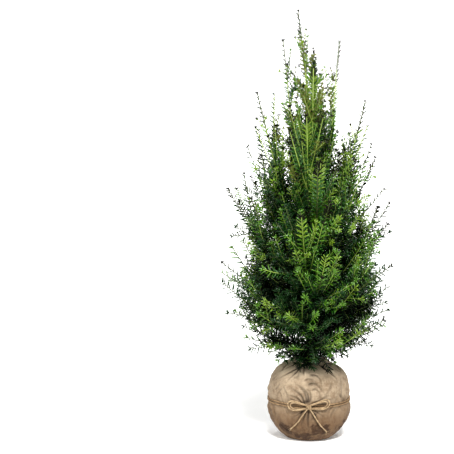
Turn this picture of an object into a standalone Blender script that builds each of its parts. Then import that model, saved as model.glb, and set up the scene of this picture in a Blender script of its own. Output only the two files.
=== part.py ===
# Young yew on a wrapped root ball, as a garden centre sells it: a burlap ball of soil tied round with jute
# twine in a bow, one trunk, and ascending boughs that each carry their own mass of needled sprays.
# Metres, +Z up. The origin is the centre of the ball's flat underside, and the bow faces -Y.

import math
import random

import bmesh
import bpy
import numpy as np
from mathutils import Matrix, Vector
from mathutils.bvhtree import BVHTree

# Gap between pieces that touch on the real plant.
CLEARANCE = 0.0003

# Root ball: two superellipse halves that meet at the widest ring, with a gathered neck on top.
BALL_RADIUS = 0.110
BALL_WAIST_Z = 0.090
BALL_UPPER = (0.116, 2.8)  # half height and power above the waist
BALL_LOWER = (0.104, 2.2)  # the same below it, cut flat at the ground
SHOULDER_Z = 0.199
NECK_FOOT = (0.050, 0.2045)
NECK_LIP = (0.041, 0.2125)
NECK_INSIDE = (0.033, 0.2115)
SOIL = (0.029, 0.2035)
BALL_SEGMENTS = 32
LOWER_RINGS = 5
UPPER_RINGS = 5
PLEATS = 8
PLEAT_DEPTH = 0.05  # share of the radius at the neck
PLEAT_FROM_Z = 0.140

# Jute twine: two turns round the ball, and a bow at the front.
TWINE_RADIUS = 0.00175
TWINE_Z = 0.103
TWINE_TURN_PITCH = 0.0062
TWINE_BITE = 0.003  # how far the turns pull the burlap in
TWINE_BITE_WIDTH = 0.013
TWINE_SIDES = 5
KNOT_HALF = (0.0085, 0.0050, 0.0075)
LOOP_REACH = 0.056
LOOP_HALF_HEIGHT = 0.0125
LOOP_POINTS = 11
TAIL_SPREAD = 0.048
TAIL_DROPS = {"left": 0.068, "right": 0.076}
TAIL_POINTS = 7

# Trunk: straight for most of its height, with a small root flare and a top that leans to the left.
TRUNK_TOP_Z = 0.950
TRUNK_RADIUS = 0.0095
TRUNK_TOP_RADIUS = 0.0024
FLARE = 0.0070
FLARE_HEIGHT = 0.012
TRUNK_SIDES = 8
TRUNK_RINGS = 13
TRUNK_SWAY = 0.003
TIP = Vector((-0.034, 0.0, 1.130))
LEAN_FROM_Z = 0.80
LEAN_POWER = 1.4

# Crown's outline: how far it reaches at each height.
CROWN_REACH = 0.240
CROWN_HEIGHTS = (0.190, 0.430, 1.175)  # foot, widest, top
CROWN_BELOW = (2.0, 0.60)
CROWN_ABOVE = (1.6, 0.75)

# Tiers of limbs from the foot of the crown up. A limb leaves the trunk near foot_z, leave_deg above level,
# and ends climbing at lift_deg. The bare share of it is a bough, and the rest carries that many shoots of
# that size. Each tip is (azimuth in degrees, reach, height).
TIERS = (
    {"name": "skirt", "foot_z": 0.228, "leave_deg": 12, "lift_deg": -16, "bare": 0.26, "shoots": 7,
     "size": 0.95, "tips": {
        "right": (-16, 0.170, 0.256), "back": (82, 0.162, 0.246),
        "left": (196, 0.160, 0.242), "front": (276, 0.152, 0.238)}},
    {"name": "low", "foot_z": 0.258, "leave_deg": 34, "lift_deg": 12, "bare": 0.20, "shoots": 9,
     "size": 1.0, "tips": {
        "right": (20, 0.216, 0.350), "back": (102, 0.214, 0.340),
        "left": (202, 0.228, 0.345), "front": (261, 0.200, 0.335)}},
    {"name": "broad", "foot_z": 0.290, "leave_deg": 40, "lift_deg": 40, "bare": 0.20, "shoots": 9,
     "size": 1.0, "tips": {
        "right": (-20, 0.224, 0.472), "back": (74, 0.226, 0.470),
        "left": (166, 0.240, 0.456), "front": (279, 0.200, 0.455)}},
    {"name": "middle", "foot_z": 0.328, "leave_deg": 52, "lift_deg": 60, "bare": 0.22, "shoots": 8,
     "size": 1.0, "tips": {
        "right": (14, 0.216, 0.620), "back": (98, 0.196, 0.640),
        "left": (190, 0.218, 0.666), "front": (263, 0.176, 0.610)}},
    {"name": "upper", "foot_z": 0.380, "leave_deg": 60, "lift_deg": 70, "bare": 0.26, "shoots": 7,
     "size": 0.95, "tips": {
        "right": (-24, 0.172, 0.786), "back": (76, 0.156, 0.770),
        "left": (158, 0.180, 0.770), "front": (281, 0.142, 0.745)}},
    {"name": "high", "foot_z": 0.452, "leave_deg": 64, "lift_deg": 76, "bare": 0.28, "shoots": 7,
     "size": 0.86, "tips": {
        "right": (10, 0.146, 0.893), "back": (96, 0.122, 0.905),
        "left": (186, 0.140, 0.917), "front": (265, 0.108, 0.862)}},
    {"name": "crown", "foot_z": 0.600, "leave_deg": 68, "lift_deg": 84, "bare": 0, "shoots": 6,
     "size": 0.74, "tips": {
        "right": (-8, 0.075, 1.052), "back": (84, 0.060, 1.030),
        "left": (168, 0.074, 1.054), "front": (278, 0.050, 0.984)}},
)
FOOT_STEP_Z = 0.007  # limbs of one tier leave the trunk one a little above the other
CURVE_PULL = 1.05  # how strongly a limb keeps its leaving and climbing directions
LIMB_SAMPLES = 22
LINE_STRIDE = 3  # samples for each segment that distances are measured from

# Boughs. The crown tier's masses grow straight from the trunk.
BOUGH_RADIUS = 0.0046
BOUGH_TIP_RADIUS = 0.0028
BOUGH_SIDES = 5
BOUGH_SEGMENTS = 3

# Masses: a stem, side twigs and sprays.
STEM_TIP_RADIUS = 0.0011
STEM_SEGMENTS = 4
TIP_SHOOTS = (5, 0.56)  # number and size at the plant's tip
SHOOT_SPAN = (0.04, 0.92)  # share of the stem over which shoots leave
TWIG_LENGTH = 0.050
TWIG_RADIUS = 0.0017
TWIG_TIP_RADIUS = 0.0012
TWIG_RISE = 0.30  # how far a spray turns up from its twig
TWIG_SHARE = 0.50  # of the stem, from its foot, where shoots have twigs
SHOOT_ANGLES = (36, 54, 74)
SHOOT_TURNS = 12

# Spray: a toothed blade folded up along its middle, each tooth a group of needles.
SPRAY_LENGTH = 0.118
SPRAY_HALF_WIDTH = 0.0290
SPRAY_RIDGE = 0.0014
SPRAY_FOLD_DEG = 28
SPRAY_SHORTENING = 0.32  # over the stem's length
TOOTH_PITCH = 0.029
TOOTH_COUNTS = (2, 4)  # fewest and most, a side
TOOTH_LEAN = 0.88  # of the pitch, towards the tip
NOTCH_SHARE = 0.32  # of the half width
ROOT_SHARE = 0.13
SPRAY_SINK = 0.006  # of its root in the twig
SPRAY_ROLL_DEG = 60
TERMINAL = (0.86, 0.86)  # shares of a full spray's length and width, at the end of each limb
TOP_TERMINAL = (0.72, 0.52)  # the same for the crown tier and the plant's tip
SIZES = (1.0, 0.85, 0.72, 0.60)  # tried from the largest
CHOICES_TRIED = 8
FREE_REACH = 0.06

# Space of a mass: nearer its own limb than any other, inside the crown, and clear of wood and ball.
SPACE_MARGIN = 0.0024
WOOD_MARGIN = 0.0030
COLLAR = (0.056, 0.2165)  # radius and height that foliage keeps over
SHOULDER = (0.118, 0.2090)

COLOURS = {
    "burlap": (0.42, 0.33, 0.22, 1.0),
    "twine": (0.50, 0.34, 0.18, 1.0),
    "bark": (0.16, 0.09, 0.06, 1.0),
    "foliage": (0.035, 0.10, 0.018, 1.0),
    "young_foliage": (0.10, 0.20, 0.025, 1.0),
}
ROUGHNESS = {"burlap": 0.95, "twine": 0.9, "bark": 0.85, "foliage": 0.5, "young_foliage": 0.5}
UP = Vector((0, 0, 1))


def clear_scene():
    for item in list(bpy.data.objects):
        bpy.data.objects.remove(item)


def material(name):
    """The material of that name, made once."""
    found = bpy.data.materials.get(name)
    if found:
        return found
    made = bpy.data.materials.new(name)
    made.use_nodes = True
    shader = made.node_tree.nodes["Principled BSDF"]
    shader.inputs["Base Color"].default_value = COLOURS[name]
    shader.inputs["Roughness"].default_value = ROUGHNESS[name]
    made.diffuse_color = COLOURS[name]
    return made


def add_object(name, mesh_data, slot):
    mesh = bpy.data.meshes.new(name)
    mesh_data.normal_update()
    mesh_data.to_mesh(mesh)
    mesh_data.free()
    made = bpy.data.objects.new(name, mesh)
    bpy.context.scene.collection.objects.link(made)
    mesh.materials.append(material(slot))
    return made


def smooth(item):
    item.data.shade_smooth()
    item.data.set_sharp_from_angle(angle=math.radians(50))


def eased(share):
    """0 to 1, level at both ends."""
    share = min(max(share, 0.0), 1.0)
    return share * share * (3 - 2 * share)


def direction(azimuth, elevation):
    level = math.cos(elevation)
    return Vector((math.cos(azimuth) * level, math.sin(azimuth) * level, math.sin(elevation)))


# Shapes made of rings.


def join_rings(mesh, rings):
    """Faces between the rings, and a cap at each end."""
    for lower, upper in zip(rings, rings[1:]):
        for step in range(len(lower)):
            after = (step + 1) % len(lower)
            mesh.faces.new((lower[step], lower[after], upper[after], upper[step]))
    mesh.faces.new(list(reversed(rings[0])))
    mesh.faces.new(rings[-1])
    return mesh


def tube_mesh(points, radii, sides, ways=None):
    """A capped tube along the points, with one radius for each, square to the ways if they are given."""
    mesh = bmesh.new()
    rings = []
    side = None
    for index, (point, radius) in enumerate(zip(points, radii)):
        before, after = points[max(index - 1, 0)], points[min(index + 1, len(points) - 1)]
        way = ways[index] if ways else (after - before).normalized()
        side = way.orthogonal() if side is None else side
        side = (side - way * side.dot(way)).normalized()
        normal = way.cross(side)
        ring = []
        for step in range(sides):
            angle = 2 * math.pi * step / sides
            offset = side * math.cos(angle) + normal * math.sin(angle)
            ring.append(mesh.verts.new(point + offset * radius))
        rings.append(ring)
    return join_rings(mesh, rings)


# Root ball and twine.


def ball_radius(height):
    """The wrapped ball's radius at a height, with the dent that the twine presses in."""
    rise = height - BALL_WAIST_Z
    half, power = BALL_UPPER if rise > 0 else BALL_LOWER
    round_radius = BALL_RADIUS * (1 - abs(rise / half) ** power) ** (1 / power)
    dent = TWINE_BITE * math.exp(-(((height - TWINE_Z) / TWINE_BITE_WIDTH) ** 2))
    return round_radius - dent


def ball_profile():
    """(radius, height) pairs from the underside's rim up over the neck to the soil."""
    drop, rise = BALL_WAIST_Z, SHOULDER_Z - BALL_WAIST_Z
    quarter = math.pi / 2
    heights = [drop * (1 - math.cos(quarter * ring / LOWER_RINGS)) for ring in range(LOWER_RINGS)]
    heights += [drop, TWINE_Z]
    heights += [drop + rise * math.sin(quarter * ring / UPPER_RINGS) for ring in range(1, UPPER_RINGS + 1)]
    side = [(ball_radius(height), height) for height in sorted(heights)]
    return side + [NECK_FOOT, NECK_LIP, NECK_INSIDE, SOIL]


def pleated(radius, height, angle):
    """The radius with the gathered cloth's pleats, which fade out towards the waist."""
    if height <= PLEAT_FROM_Z or (radius, height) == SOIL:
        return radius
    depth = PLEAT_DEPTH * eased((height - PLEAT_FROM_Z) / (NECK_LIP[1] - PLEAT_FROM_Z))
    return radius * (1 + depth * math.cos(PLEATS * angle))


def make_root_ball():
    mesh = bmesh.new()
    rings = []
    for radius, height in ball_profile():
        ring = []
        for step in range(BALL_SEGMENTS):
            angle = 2 * math.pi * step / BALL_SEGMENTS
            reach = pleated(radius, height, angle)
            ring.append(mesh.verts.new((reach * math.cos(angle), reach * math.sin(angle), height)))
        rings.append(ring)
    smooth(add_object("root_ball", join_rings(mesh, rings), "burlap"))


def make_twine_turn(name, height):
    """One turn of twine, with a corner over each corner of the ball."""
    reach = ball_radius(height) + CLEARANCE + TWINE_RADIUS
    mesh = bmesh.new()
    rings = []
    for step in range(BALL_SEGMENTS):
        outward = direction(2 * math.pi * step / BALL_SEGMENTS, 0)
        ring = []
        for corner in range(TWINE_SIDES):
            turn = 2 * math.pi * corner / TWINE_SIDES
            offset = (outward * math.cos(turn) + UP * math.sin(turn)) * TWINE_RADIUS
            ring.append(mesh.verts.new(outward * reach + UP * height + offset))
        rings.append(ring)
    for step in range(BALL_SEGMENTS):
        here, beyond = rings[step], rings[(step + 1) % BALL_SEGMENTS]
        for corner in range(TWINE_SIDES):
            after = (corner + 1) % TWINE_SIDES
            mesh.faces.new((here[corner], beyond[corner], beyond[after], here[after]))
    smooth(add_object(name, mesh, "twine"))


def over_ball(across, height, stand_off):
    """A point at a distance across from the bow's middle, standing off the ball's front."""
    reach = ball_radius(height) + stand_off
    angle = across / reach
    return Vector((math.sin(angle) * reach, -math.cos(angle) * reach, height))


def knot_mesh(stand_off):
    mesh = bmesh.new()
    bmesh.ops.create_icosphere(mesh, subdivisions=2, radius=1.0)
    place = Matrix.Translation(over_ball(0, TWINE_Z, stand_off))
    bmesh.ops.transform(mesh, matrix=place @ Matrix.Diagonal((*KNOT_HALF, 1)), verts=mesh.verts)
    return mesh


def loop_mesh(side, stand_off):
    """One loop of the bow: out from the knot, round its end and back into the knot."""
    points = []
    foot = KNOT_HALF[0] * 0.35
    for step in range(LOOP_POINTS):
        turn = math.pi * step / (LOOP_POINTS - 1)
        across = foot + (LOOP_REACH - foot) * math.sin(turn) ** 0.8
        rise = LOOP_HALF_HEIGHT * math.cos(turn) * (0.24 + 0.86 * math.sin(turn))
        points.append(over_ball(side * across, TWINE_Z + rise, stand_off + 0.001 * math.sin(turn)))
    return tube_mesh(points, [TWINE_RADIUS] * LOOP_POINTS, TWINE_SIDES)


def tail_mesh(side, drop, stand_off):
    """One free end of the bow, from the knot down the ball to a thicker end."""
    points, radii = [], []
    for step in range(TAIL_POINTS):
        share = step / (TAIL_POINTS - 1)
        across = side * (0.002 + (TAIL_SPREAD - 0.002) * share**1.15)
        radius = TWINE_RADIUS * (1.45 if step >= TAIL_POINTS - 2 else 1.0)
        off = stand_off + (radius + 2 * CLEARANCE - stand_off) * eased(1.8 * share)
        points.append(over_ball(across, TWINE_Z - 0.002 - (drop - 0.002) * share, off))
        radii.append(radius)
    return tube_mesh(points, radii, TWINE_SIDES)


def make_twine():
    make_twine_turn("twine_turn_upper", TWINE_Z + TWINE_TURN_PITCH / 2)
    make_twine_turn("twine_turn_lower", TWINE_Z - TWINE_TURN_PITCH / 2)
    over_turns = 2 * TWINE_RADIUS + 4 * CLEARANCE
    stand_off = over_turns + KNOT_HALF[1]
    pieces = [knot_mesh(stand_off)]
    for side, name in ((-1, "left"), (1, "right")):
        pieces.append(loop_mesh(side, over_turns + TWINE_RADIUS * 1.25))
        pieces.append(tail_mesh(side, TAIL_DROPS[name], stand_off))
    fuse("bow", pieces, "twine")


# Trunk and limbs.


def trunk_point(height):
    """The trunk's middle at a height: nearly straight, then leaning over to the plant's tip."""
    share = (height - SOIL[1]) / (LEAN_FROM_Z - SOIL[1])
    sway = TRUNK_SWAY * math.sin(math.pi * min(share, 1.0))
    lean = max(height - LEAN_FROM_Z, 0) / (TIP.z - LEAN_FROM_Z)
    return Vector((sway + TIP.x * lean**LEAN_POWER, -sway, height))


def trunk_radius(height):
    foot_z = SOIL[1] + CLEARANCE
    share = (height - foot_z) / (TRUNK_TOP_Z - foot_z)
    taper = TRUNK_RADIUS + (TRUNK_TOP_RADIUS - TRUNK_RADIUS) * share
    return taper + FLARE * math.exp(-(height - foot_z) / FLARE_HEIGHT)


def trunk_mesh(growth):
    """The trunk from its flat cut to its top, grown outwards by a margin."""
    foot_z = SOIL[1] + CLEARANCE
    mesh = bmesh.new()
    rings = []
    for number in range(TRUNK_RINGS + 1):
        height = foot_z + (TRUNK_TOP_Z - foot_z) * (number / TRUNK_RINGS) ** 1.5
        radius = trunk_radius(height) + growth
        ring = []
        for step in range(TRUNK_SIDES):
            corner = direction(2 * math.pi * step / TRUNK_SIDES, 0) * radius
            ring.append(mesh.verts.new(trunk_point(height) + corner))
        rings.append(ring)
    return join_rings(mesh, rings)


def make_trunk():
    smooth(add_object("trunk", trunk_mesh(0), "bark"))
    cutter = add_object("trunk_clearance", trunk_mesh(CLEARANCE * 1.2), "bark")
    cutter.hide_render = True
    cutter.display_type = "WIRE"
    return cutter


def limb_line(foot, tip, leaving, climbing):
    """Points of a smooth curve from foot to tip that starts along leaving and ends along climbing."""
    pull = (tip - foot).length * CURVE_PULL
    points = []
    for step in range(LIMB_SAMPLES):
        t = step / (LIMB_SAMPLES - 1)
        from_foot = foot * (2 * t**3 - 3 * t**2 + 1) + leaving * (pull * (t**3 - 2 * t**2 + t))
        to_tip = tip * (3 * t**2 - 2 * t**3) + climbing * (pull * (t**3 - t**2))
        points.append(from_foot + to_tip)
    return points


def plan_limbs():
    """Every limb's name, line, bare share and shoots, from the lowest tier to the plant's tip."""
    limbs = []
    for tier in TIERS:
        split = tier["bare"]
        for number, (side, (turn, reach, height)) in enumerate(tier["tips"].items()):
            azimuth = math.radians(turn)
            tip = direction(azimuth, 0) * reach + UP * height
            foot = trunk_point(tier["foot_z"] + number * FOOT_STEP_Z * (3 if split == 0 else 1))
            leaving = direction(azimuth, math.radians(tier["leave_deg"]))
            climbing = direction(azimuth, math.radians(tier["lift_deg"]))
            line = limb_line(foot, tip, leaving, climbing)
            name = f"{tier['name']}_{side}"
            shoots = (tier["shoots"], tier["size"])
            limbs.append({"name": name, "line": line, "split": split, "shoots": shoots})
    rise = TIP.z - TRUNK_TOP_Z
    line = [trunk_point(TRUNK_TOP_Z + rise * step / (LIMB_SAMPLES - 1)) for step in range(LIMB_SAMPLES)]
    limbs.append({"name": "tip", "line": line, "split": 0.0, "shoots": TIP_SHOOTS})
    return limbs


def along(line, share):
    """The point at a share of the line, and the line's direction there."""
    place = min(max(share, 0.0), 1.0) * (len(line) - 1)
    index = min(int(place), len(line) - 2)
    step = line[index + 1] - line[index]
    return line[index] + step * (place - index), step.normalized()


def line_length(line):
    return sum((after - before).length for before, after in zip(line, line[1:]))


def seat(item, cutter):
    """Cuts the foot of a limb 0.3 mm clear of the trunk."""
    cut = item.modifiers.new("seat_on_trunk", "BOOLEAN")
    cut.operation = "DIFFERENCE"
    cut.object = cutter


def make_bough(limb, cutter):
    steps = range(BOUGH_SEGMENTS + 1)
    places = [along(limb["line"], limb["split"] * step / BOUGH_SEGMENTS) for step in steps]
    radii = [BOUGH_RADIUS + (BOUGH_TIP_RADIUS - BOUGH_RADIUS) * step / BOUGH_SEGMENTS for step in steps]
    mesh = tube_mesh([point for point, _ in places], radii, BOUGH_SIDES, [way for _, way in places])
    bough = add_object(f"bough_{limb['name']}", mesh, "bark")
    seat(bough, cutter)
    smooth(bough)


# Space that each mass keeps to.


def segments(points):
    array = np.array([tuple(point) for point in points])
    return array[:-1], array[1:] - array[:-1]


def distances(points, starts, steps):
    """Distance of each point from each segment, over the last axes of the starts."""
    offset = points[:, None, :] - starts[None]
    share = np.clip((offset * steps[None]).sum(-1) / (steps * steps).sum(-1)[None], 0, 1)
    gap = offset - steps[None] * share[..., None]
    return np.sqrt((gap * gap).sum(-1))


def crown_reach(heights):
    """How far the crown reaches at each of the heights."""
    foot, widest, top = CROWN_HEIGHTS
    below = np.clip((widest - heights) / (widest - foot), 0, 1)
    above = np.clip((heights - widest) / (top - widest), 0, 1)
    lower = (1 - below ** CROWN_BELOW[0]) ** CROWN_BELOW[1]
    upper = (1 - above ** CROWN_ABOVE[0]) ** CROWN_ABOVE[1]
    return CROWN_REACH * np.where(heights < widest, lower, upper)


def plan_space(limbs):
    """The lines of limbs, bare boughs and trunk that distances are measured from."""
    lines = [segments(limb["line"][::LINE_STRIDE]) for limb in limbs]
    bare = []
    for limb in limbs:
        shares = [limb["split"] * 0.96 * step / 5 for step in range(6)]
        places = [along(limb["line"], share)[0] for share in shares]
        bare.append(segments(places) if limb["split"] else None)
    heights = [SOIL[1] + (TRUNK_TOP_Z - 0.006 - SOIL[1]) * step / 16 for step in range(17)]
    return {
        "starts": np.concatenate([starts for starts, _ in lines]),
        "steps": np.concatenate([steps for _, steps in lines]),
        "bare": bare,
        "trunk": segments([trunk_point(height) for height in heights]),
    }


def inside_space(points, index, space):
    """Which points are nearer to this limb than to any other, in the crown, and clear of wood and ball."""
    gaps = distances(points, space["starts"], space["steps"])
    gaps = gaps.reshape(len(points), -1, (LIMB_SAMPLES - 1) // LINE_STRIDE).min(-1)
    own = gaps[:, index]
    others = np.delete(gaps, index, axis=1).min(1)
    inside = (others > own + SPACE_MARGIN) & (others > BOUGH_RADIUS + WOOD_MARGIN)
    if space["bare"][index]:
        inside &= distances(points, *space["bare"][index]).min(1) > BOUGH_RADIUS + WOOD_MARGIN / 2
    heights = points[:, 2]
    trunk_share = np.clip((heights - SOIL[1]) / (TRUNK_TOP_Z - SOIL[1]), 0, 1)
    trunk = TRUNK_RADIUS + (TRUNK_TOP_RADIUS - TRUNK_RADIUS) * trunk_share
    inside &= distances(points, *space["trunk"]).min(1) > trunk + WOOD_MARGIN
    reach = np.hypot(points[:, 0] - TIP.x * np.clip((heights - LEAN_FROM_Z) / 0.33, 0, 1), points[:, 1])
    inside &= reach < crown_reach(heights)
    inside &= (reach > COLLAR[0]) | (heights > COLLAR[1])
    return inside & ((reach > SHOULDER[0]) | (heights > SHOULDER[1]))


# Twigs and sprays.


def tooth_count(length):
    fewest, most = TOOTH_COUNTS
    return min(max(round(length / TOOTH_PITCH), fewest), most)


def spray_rim(length, half_width):
    """The rim as (along, across, lift), from the right root corner round the tip to the left one."""
    fold = math.radians(SPRAY_FOLD_DEG)
    teeth = tooth_count(length)
    pitch = 0.93 * length / teeth
    right = [(0.0, half_width * ROOT_SHARE, 0.0)]
    for tooth in range(teeth):
        share = tooth / teeth
        width = half_width * (0.78 + 0.22 * math.sin(math.pi * share)) * (1 - 0.42 * share**2)
        notch = half_width * NOTCH_SHARE * (1 - 0.3 * share)
        for place, reach in ((tooth * pitch, notch), ((tooth + TOOTH_LEAN) * pitch, width)):
            if place:
                right.append((place, reach * math.cos(fold), reach * math.sin(fold)))
    left = [(a, -b, lift) for a, b, lift in reversed(right)]
    return np.array(right + [(length, 0.0, 0.0)] + left)


def spray_size(size):
    return SPRAY_LENGTH * size, SPRAY_HALF_WIDTH * (0.45 + 0.55 * min(size, 1.0))


def spray_mesh(root, heading, normal, length, half_width):
    """A closed folded blade: each face is a fan from ridge points that serve two teeth or fewer."""
    across = heading.cross(normal)
    mesh = bmesh.new()
    rim = [
        mesh.verts.new(root + heading * a + across * b + normal * c)
        for a, b, c in spray_rim(length, half_width)
    ]
    teeth, count = tooth_count(length), len(rim)
    shares = {2: (1.0,), 3: (1.0, 2.3), 4: (1.0, 3.0)}[teeth]
    spines = [root + heading * (0.93 * length * share / teeth) for share in shares]
    for face in (1, -1):
        ridge = [mesh.verts.new(point + normal * (face * SPRAY_RIDGE)) for point in spines]
        served = []
        for edge in range(count):
            place = edge if edge < count // 2 else count - 2 - edge
            served.append(ridge[min(max(place // 4, 0), len(ridge) - 1)])
        for edge in range(count):
            after = (edge + 1) % count
            corners = [(served[edge], rim[edge], rim[after])]
            if served[after] is not served[edge]:
                corners.append((served[edge], rim[after], served[after]))
            for corner in corners:
                mesh.faces.new(corner if face < 0 else corner[::-1])
    bmesh.ops.recalc_face_normals(mesh, faces=mesh.faces)
    return mesh


def facing(heading, place, roll):
    """The direction that a spray's face looks: up and away from the trunk, rolled round its heading."""
    outward = Vector((place.x, place.y, 0)) + Vector((0, -0.002, 0))
    wished = outward.normalized() * 0.7 + UP * 0.75
    normal = wished - heading * wished.dot(heading)
    return Matrix.Rotation(math.radians(roll), 3, heading) @ normal.normalized()


def side_heading(tangent, turn, angle):
    """A direction that leaves the tangent at an angle, turned round it, both in degrees."""
    across = tangent.cross(UP)
    across = across.normalized() if across.length > 0.2 else tangent.orthogonal().normalized()
    side = Matrix.Rotation(math.radians(turn), 3, tangent) @ across
    return tangent * math.cos(math.radians(angle)) + side * math.sin(math.radians(angle))


def shoot_choices(place, tangent, twig_length, phase, roll):
    """Every way that a shoot could leave the stem here: its spray's root and frame."""
    choices = []
    sink = SPRAY_SINK if twig_length else SPRAY_SINK / 2
    for angle in SHOOT_ANGLES:
        for step in range(SHOOT_TURNS):
            heading = side_heading(tangent, phase + 360 * step / SHOOT_TURNS, angle)
            end = place + heading * twig_length
            way = (heading + UP * TWIG_RISE).normalized() if twig_length else heading
            choices.append((end - way * sink, way, facing(way, end, roll)))
    return choices


def shape_tree(mesh):
    """The mesh's triangles in a form that tells whether two shapes cross."""
    return BVHTree.FromBMesh(mesh)


def freest_spray(choices, size, index, space, taken):
    """The largest spray that fits and crosses no other, where it lies farthest from those already there."""
    roots = np.array([tuple(root) for root, _, _ in choices])
    ways = np.array([tuple(way) for _, way, _ in choices])
    normals = np.array([tuple(normal) for _, _, normal in choices])
    crosses = np.cross(ways, normals)
    for scale in SIZES:
        length, half_width = spray_size(size * scale)
        rim = spray_rim(length, half_width)
        local = np.concatenate([rim[1::2], [(length, 0, 0), (length / 2, 0, 0)]])
        world = roots[:, None] + (
            ways[:, None] * local[None, :, 0:1]
            + crosses[:, None] * local[None, :, 1:2]
            + normals[:, None] * local[None, :, 2:3]
        )
        fits = inside_space(world.reshape(-1, 3), index, space).reshape(len(choices), -1).all(1)
        middles = roots + ways * (length * 0.6)
        gaps = np.linalg.norm(middles[:, None] - np.array(taken["middles"])[None], axis=2).min(1)
        scores = np.where(fits, (0.25 + np.minimum(gaps / FREE_REACH, 1)) * (1.2 + 0.3 * ways[:, 2]), 0)
        for pick in np.argsort(-scores, kind="stable")[:CHOICES_TRIED]:
            if scores[pick] <= 0:
                break
            root, way, normal = choices[pick]
            mesh = spray_mesh(root, way, normal, length, half_width)
            tree = shape_tree(mesh)
            if not any(tree.overlap(other) for other in taken["trees"]):
                taken["middles"].append(tuple(root + way * (length * 0.6)))
                taken["trees"].append(tree)
                return root, way, mesh
            mesh.free()
    return None


def grow_mass(limb, index, space):
    """The stem, the twigs and the sprays of one mass, each as a closed mesh."""
    rng = random.Random(100 + index)
    line, split = limb["line"], limb["split"]
    tip = line[-1]
    length_share, width_share = TERMINAL if split else TOP_TERMINAL
    stem_end = 1 - (SPRAY_LENGTH * length_share - 2 * SPRAY_SINK) / line_length(line)
    shares = [split + (stem_end - split) * step / STEM_SEGMENTS for step in range(STEM_SEGMENTS + 1)]
    places = [along(line, share) for share in shares]
    points = [point for point, _ in places]
    lifted = CLEARANCE if split or limb["name"] == "tip" else 0
    points[0] = points[0] + places[0][1] * lifted
    foot_radius = BOUGH_TIP_RADIUS if split else (TRUNK_TOP_RADIUS if lifted else BOUGH_TIP_RADIUS)
    radii = [
        foot_radius + (STEM_TIP_RADIUS - foot_radius) * step / STEM_SEGMENTS
        for step in range(STEM_SEGMENTS + 1)
    ]
    meshes = [tube_mesh(points, radii, 3, [way for _, way in places])]

    root = points[-1] - places[-1][1] * (2 * SPRAY_SINK)
    way = (tip - root).normalized()
    normal = facing(way, root, rng.uniform(-SPRAY_ROLL_DEG, SPRAY_ROLL_DEG))
    meshes.append(spray_mesh(root, way, normal, (tip - root).length, SPRAY_HALF_WIDTH * width_share))
    taken = {"middles": [tuple(root.lerp(tip, 0.6))], "trees": [shape_tree(meshes[-1])]}

    count, full_size = limb["shoots"]
    for number in range(count):
        stem_share = SHOOT_SPAN[0] + (SHOOT_SPAN[1] - SHOOT_SPAN[0]) * number / (count - 1)
        place, tangent = along(points, stem_share)
        size = full_size * (1 - SPRAY_SHORTENING * stem_share) * rng.uniform(0.92, 1.08)
        phase, roll = rng.uniform(0, 360), rng.uniform(-SPRAY_ROLL_DEG, SPRAY_ROLL_DEG)
        on_twig = stem_share < TWIG_SHARE and number % 2 == 0
        twig_length = TWIG_LENGTH * (1 - stem_share) if on_twig else 0.0
        choices = shoot_choices(place, tangent, twig_length, phase, roll)
        grown = freest_spray(choices, size, index, space, taken)
        if grown is None:
            continue
        root, way, mesh = grown
        meshes.append(mesh)
        if on_twig:
            end = root + way * SPRAY_SINK
            meshes.append(tube_mesh([place, end], [TWIG_RADIUS, TWIG_TIP_RADIUS], 3))
            twig_tree = shape_tree(meshes[-1])
            choices = shoot_choices(place.lerp(end, 0.45), (end - place).normalized(), 0.0, phase, -roll)
            grown = freest_spray(choices, size * 0.85, index, space, taken)
            if grown:
                meshes.append(grown[2])
            taken["trees"].append(twig_tree)
    return meshes


def fuse(name, meshes, slot):
    """One solid from overlapping closed meshes."""
    base = add_object(name, meshes[0], slot)
    group = bpy.data.collections.new(f"{name}_pieces")
    bpy.context.scene.collection.children.link(group)
    for number, mesh in enumerate(meshes[1:]):
        piece = add_object(f"{name}_piece_{number}", mesh, slot)
        bpy.context.scene.collection.objects.unlink(piece)
        group.objects.link(piece)
    union = base.modifiers.new("fuse", "BOOLEAN")
    union.operation = "UNION"
    union.operand_type = "COLLECTION"
    union.collection = group
    bpy.context.view_layer.update()
    evaluated = base.evaluated_get(bpy.context.evaluated_depsgraph_get())
    fused = bpy.data.meshes.new_from_object(evaluated)
    base.modifiers.clear()
    base.data = fused
    for piece in list(group.objects):
        bpy.data.objects.remove(piece)
    bpy.data.collections.remove(group)
    return base


def make_crown(cutter):
    limbs = plan_limbs()
    space = plan_space(limbs)
    for index, limb in enumerate(limbs):
        if limb["split"]:
            make_bough(limb, cutter)
        young = limb["name"].startswith(("high", "crown", "tip"))
        slot = "young_foliage" if young else "foliage"
        mass = fuse(f"mass_{limb['name']}", grow_mass(limb, index, space), slot)
        if limb["name"].startswith("crown"):
            seat(mass, cutter)


def main():
    clear_scene()
    make_root_ball()
    make_twine()
    cutter = make_trunk()
    make_crown(cutter)


main()
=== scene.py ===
import math
import random

import bmesh
import bpy
import numpy as np
from mathutils import Matrix, Vector
from mathutils.bvhtree import BVHTree


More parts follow.
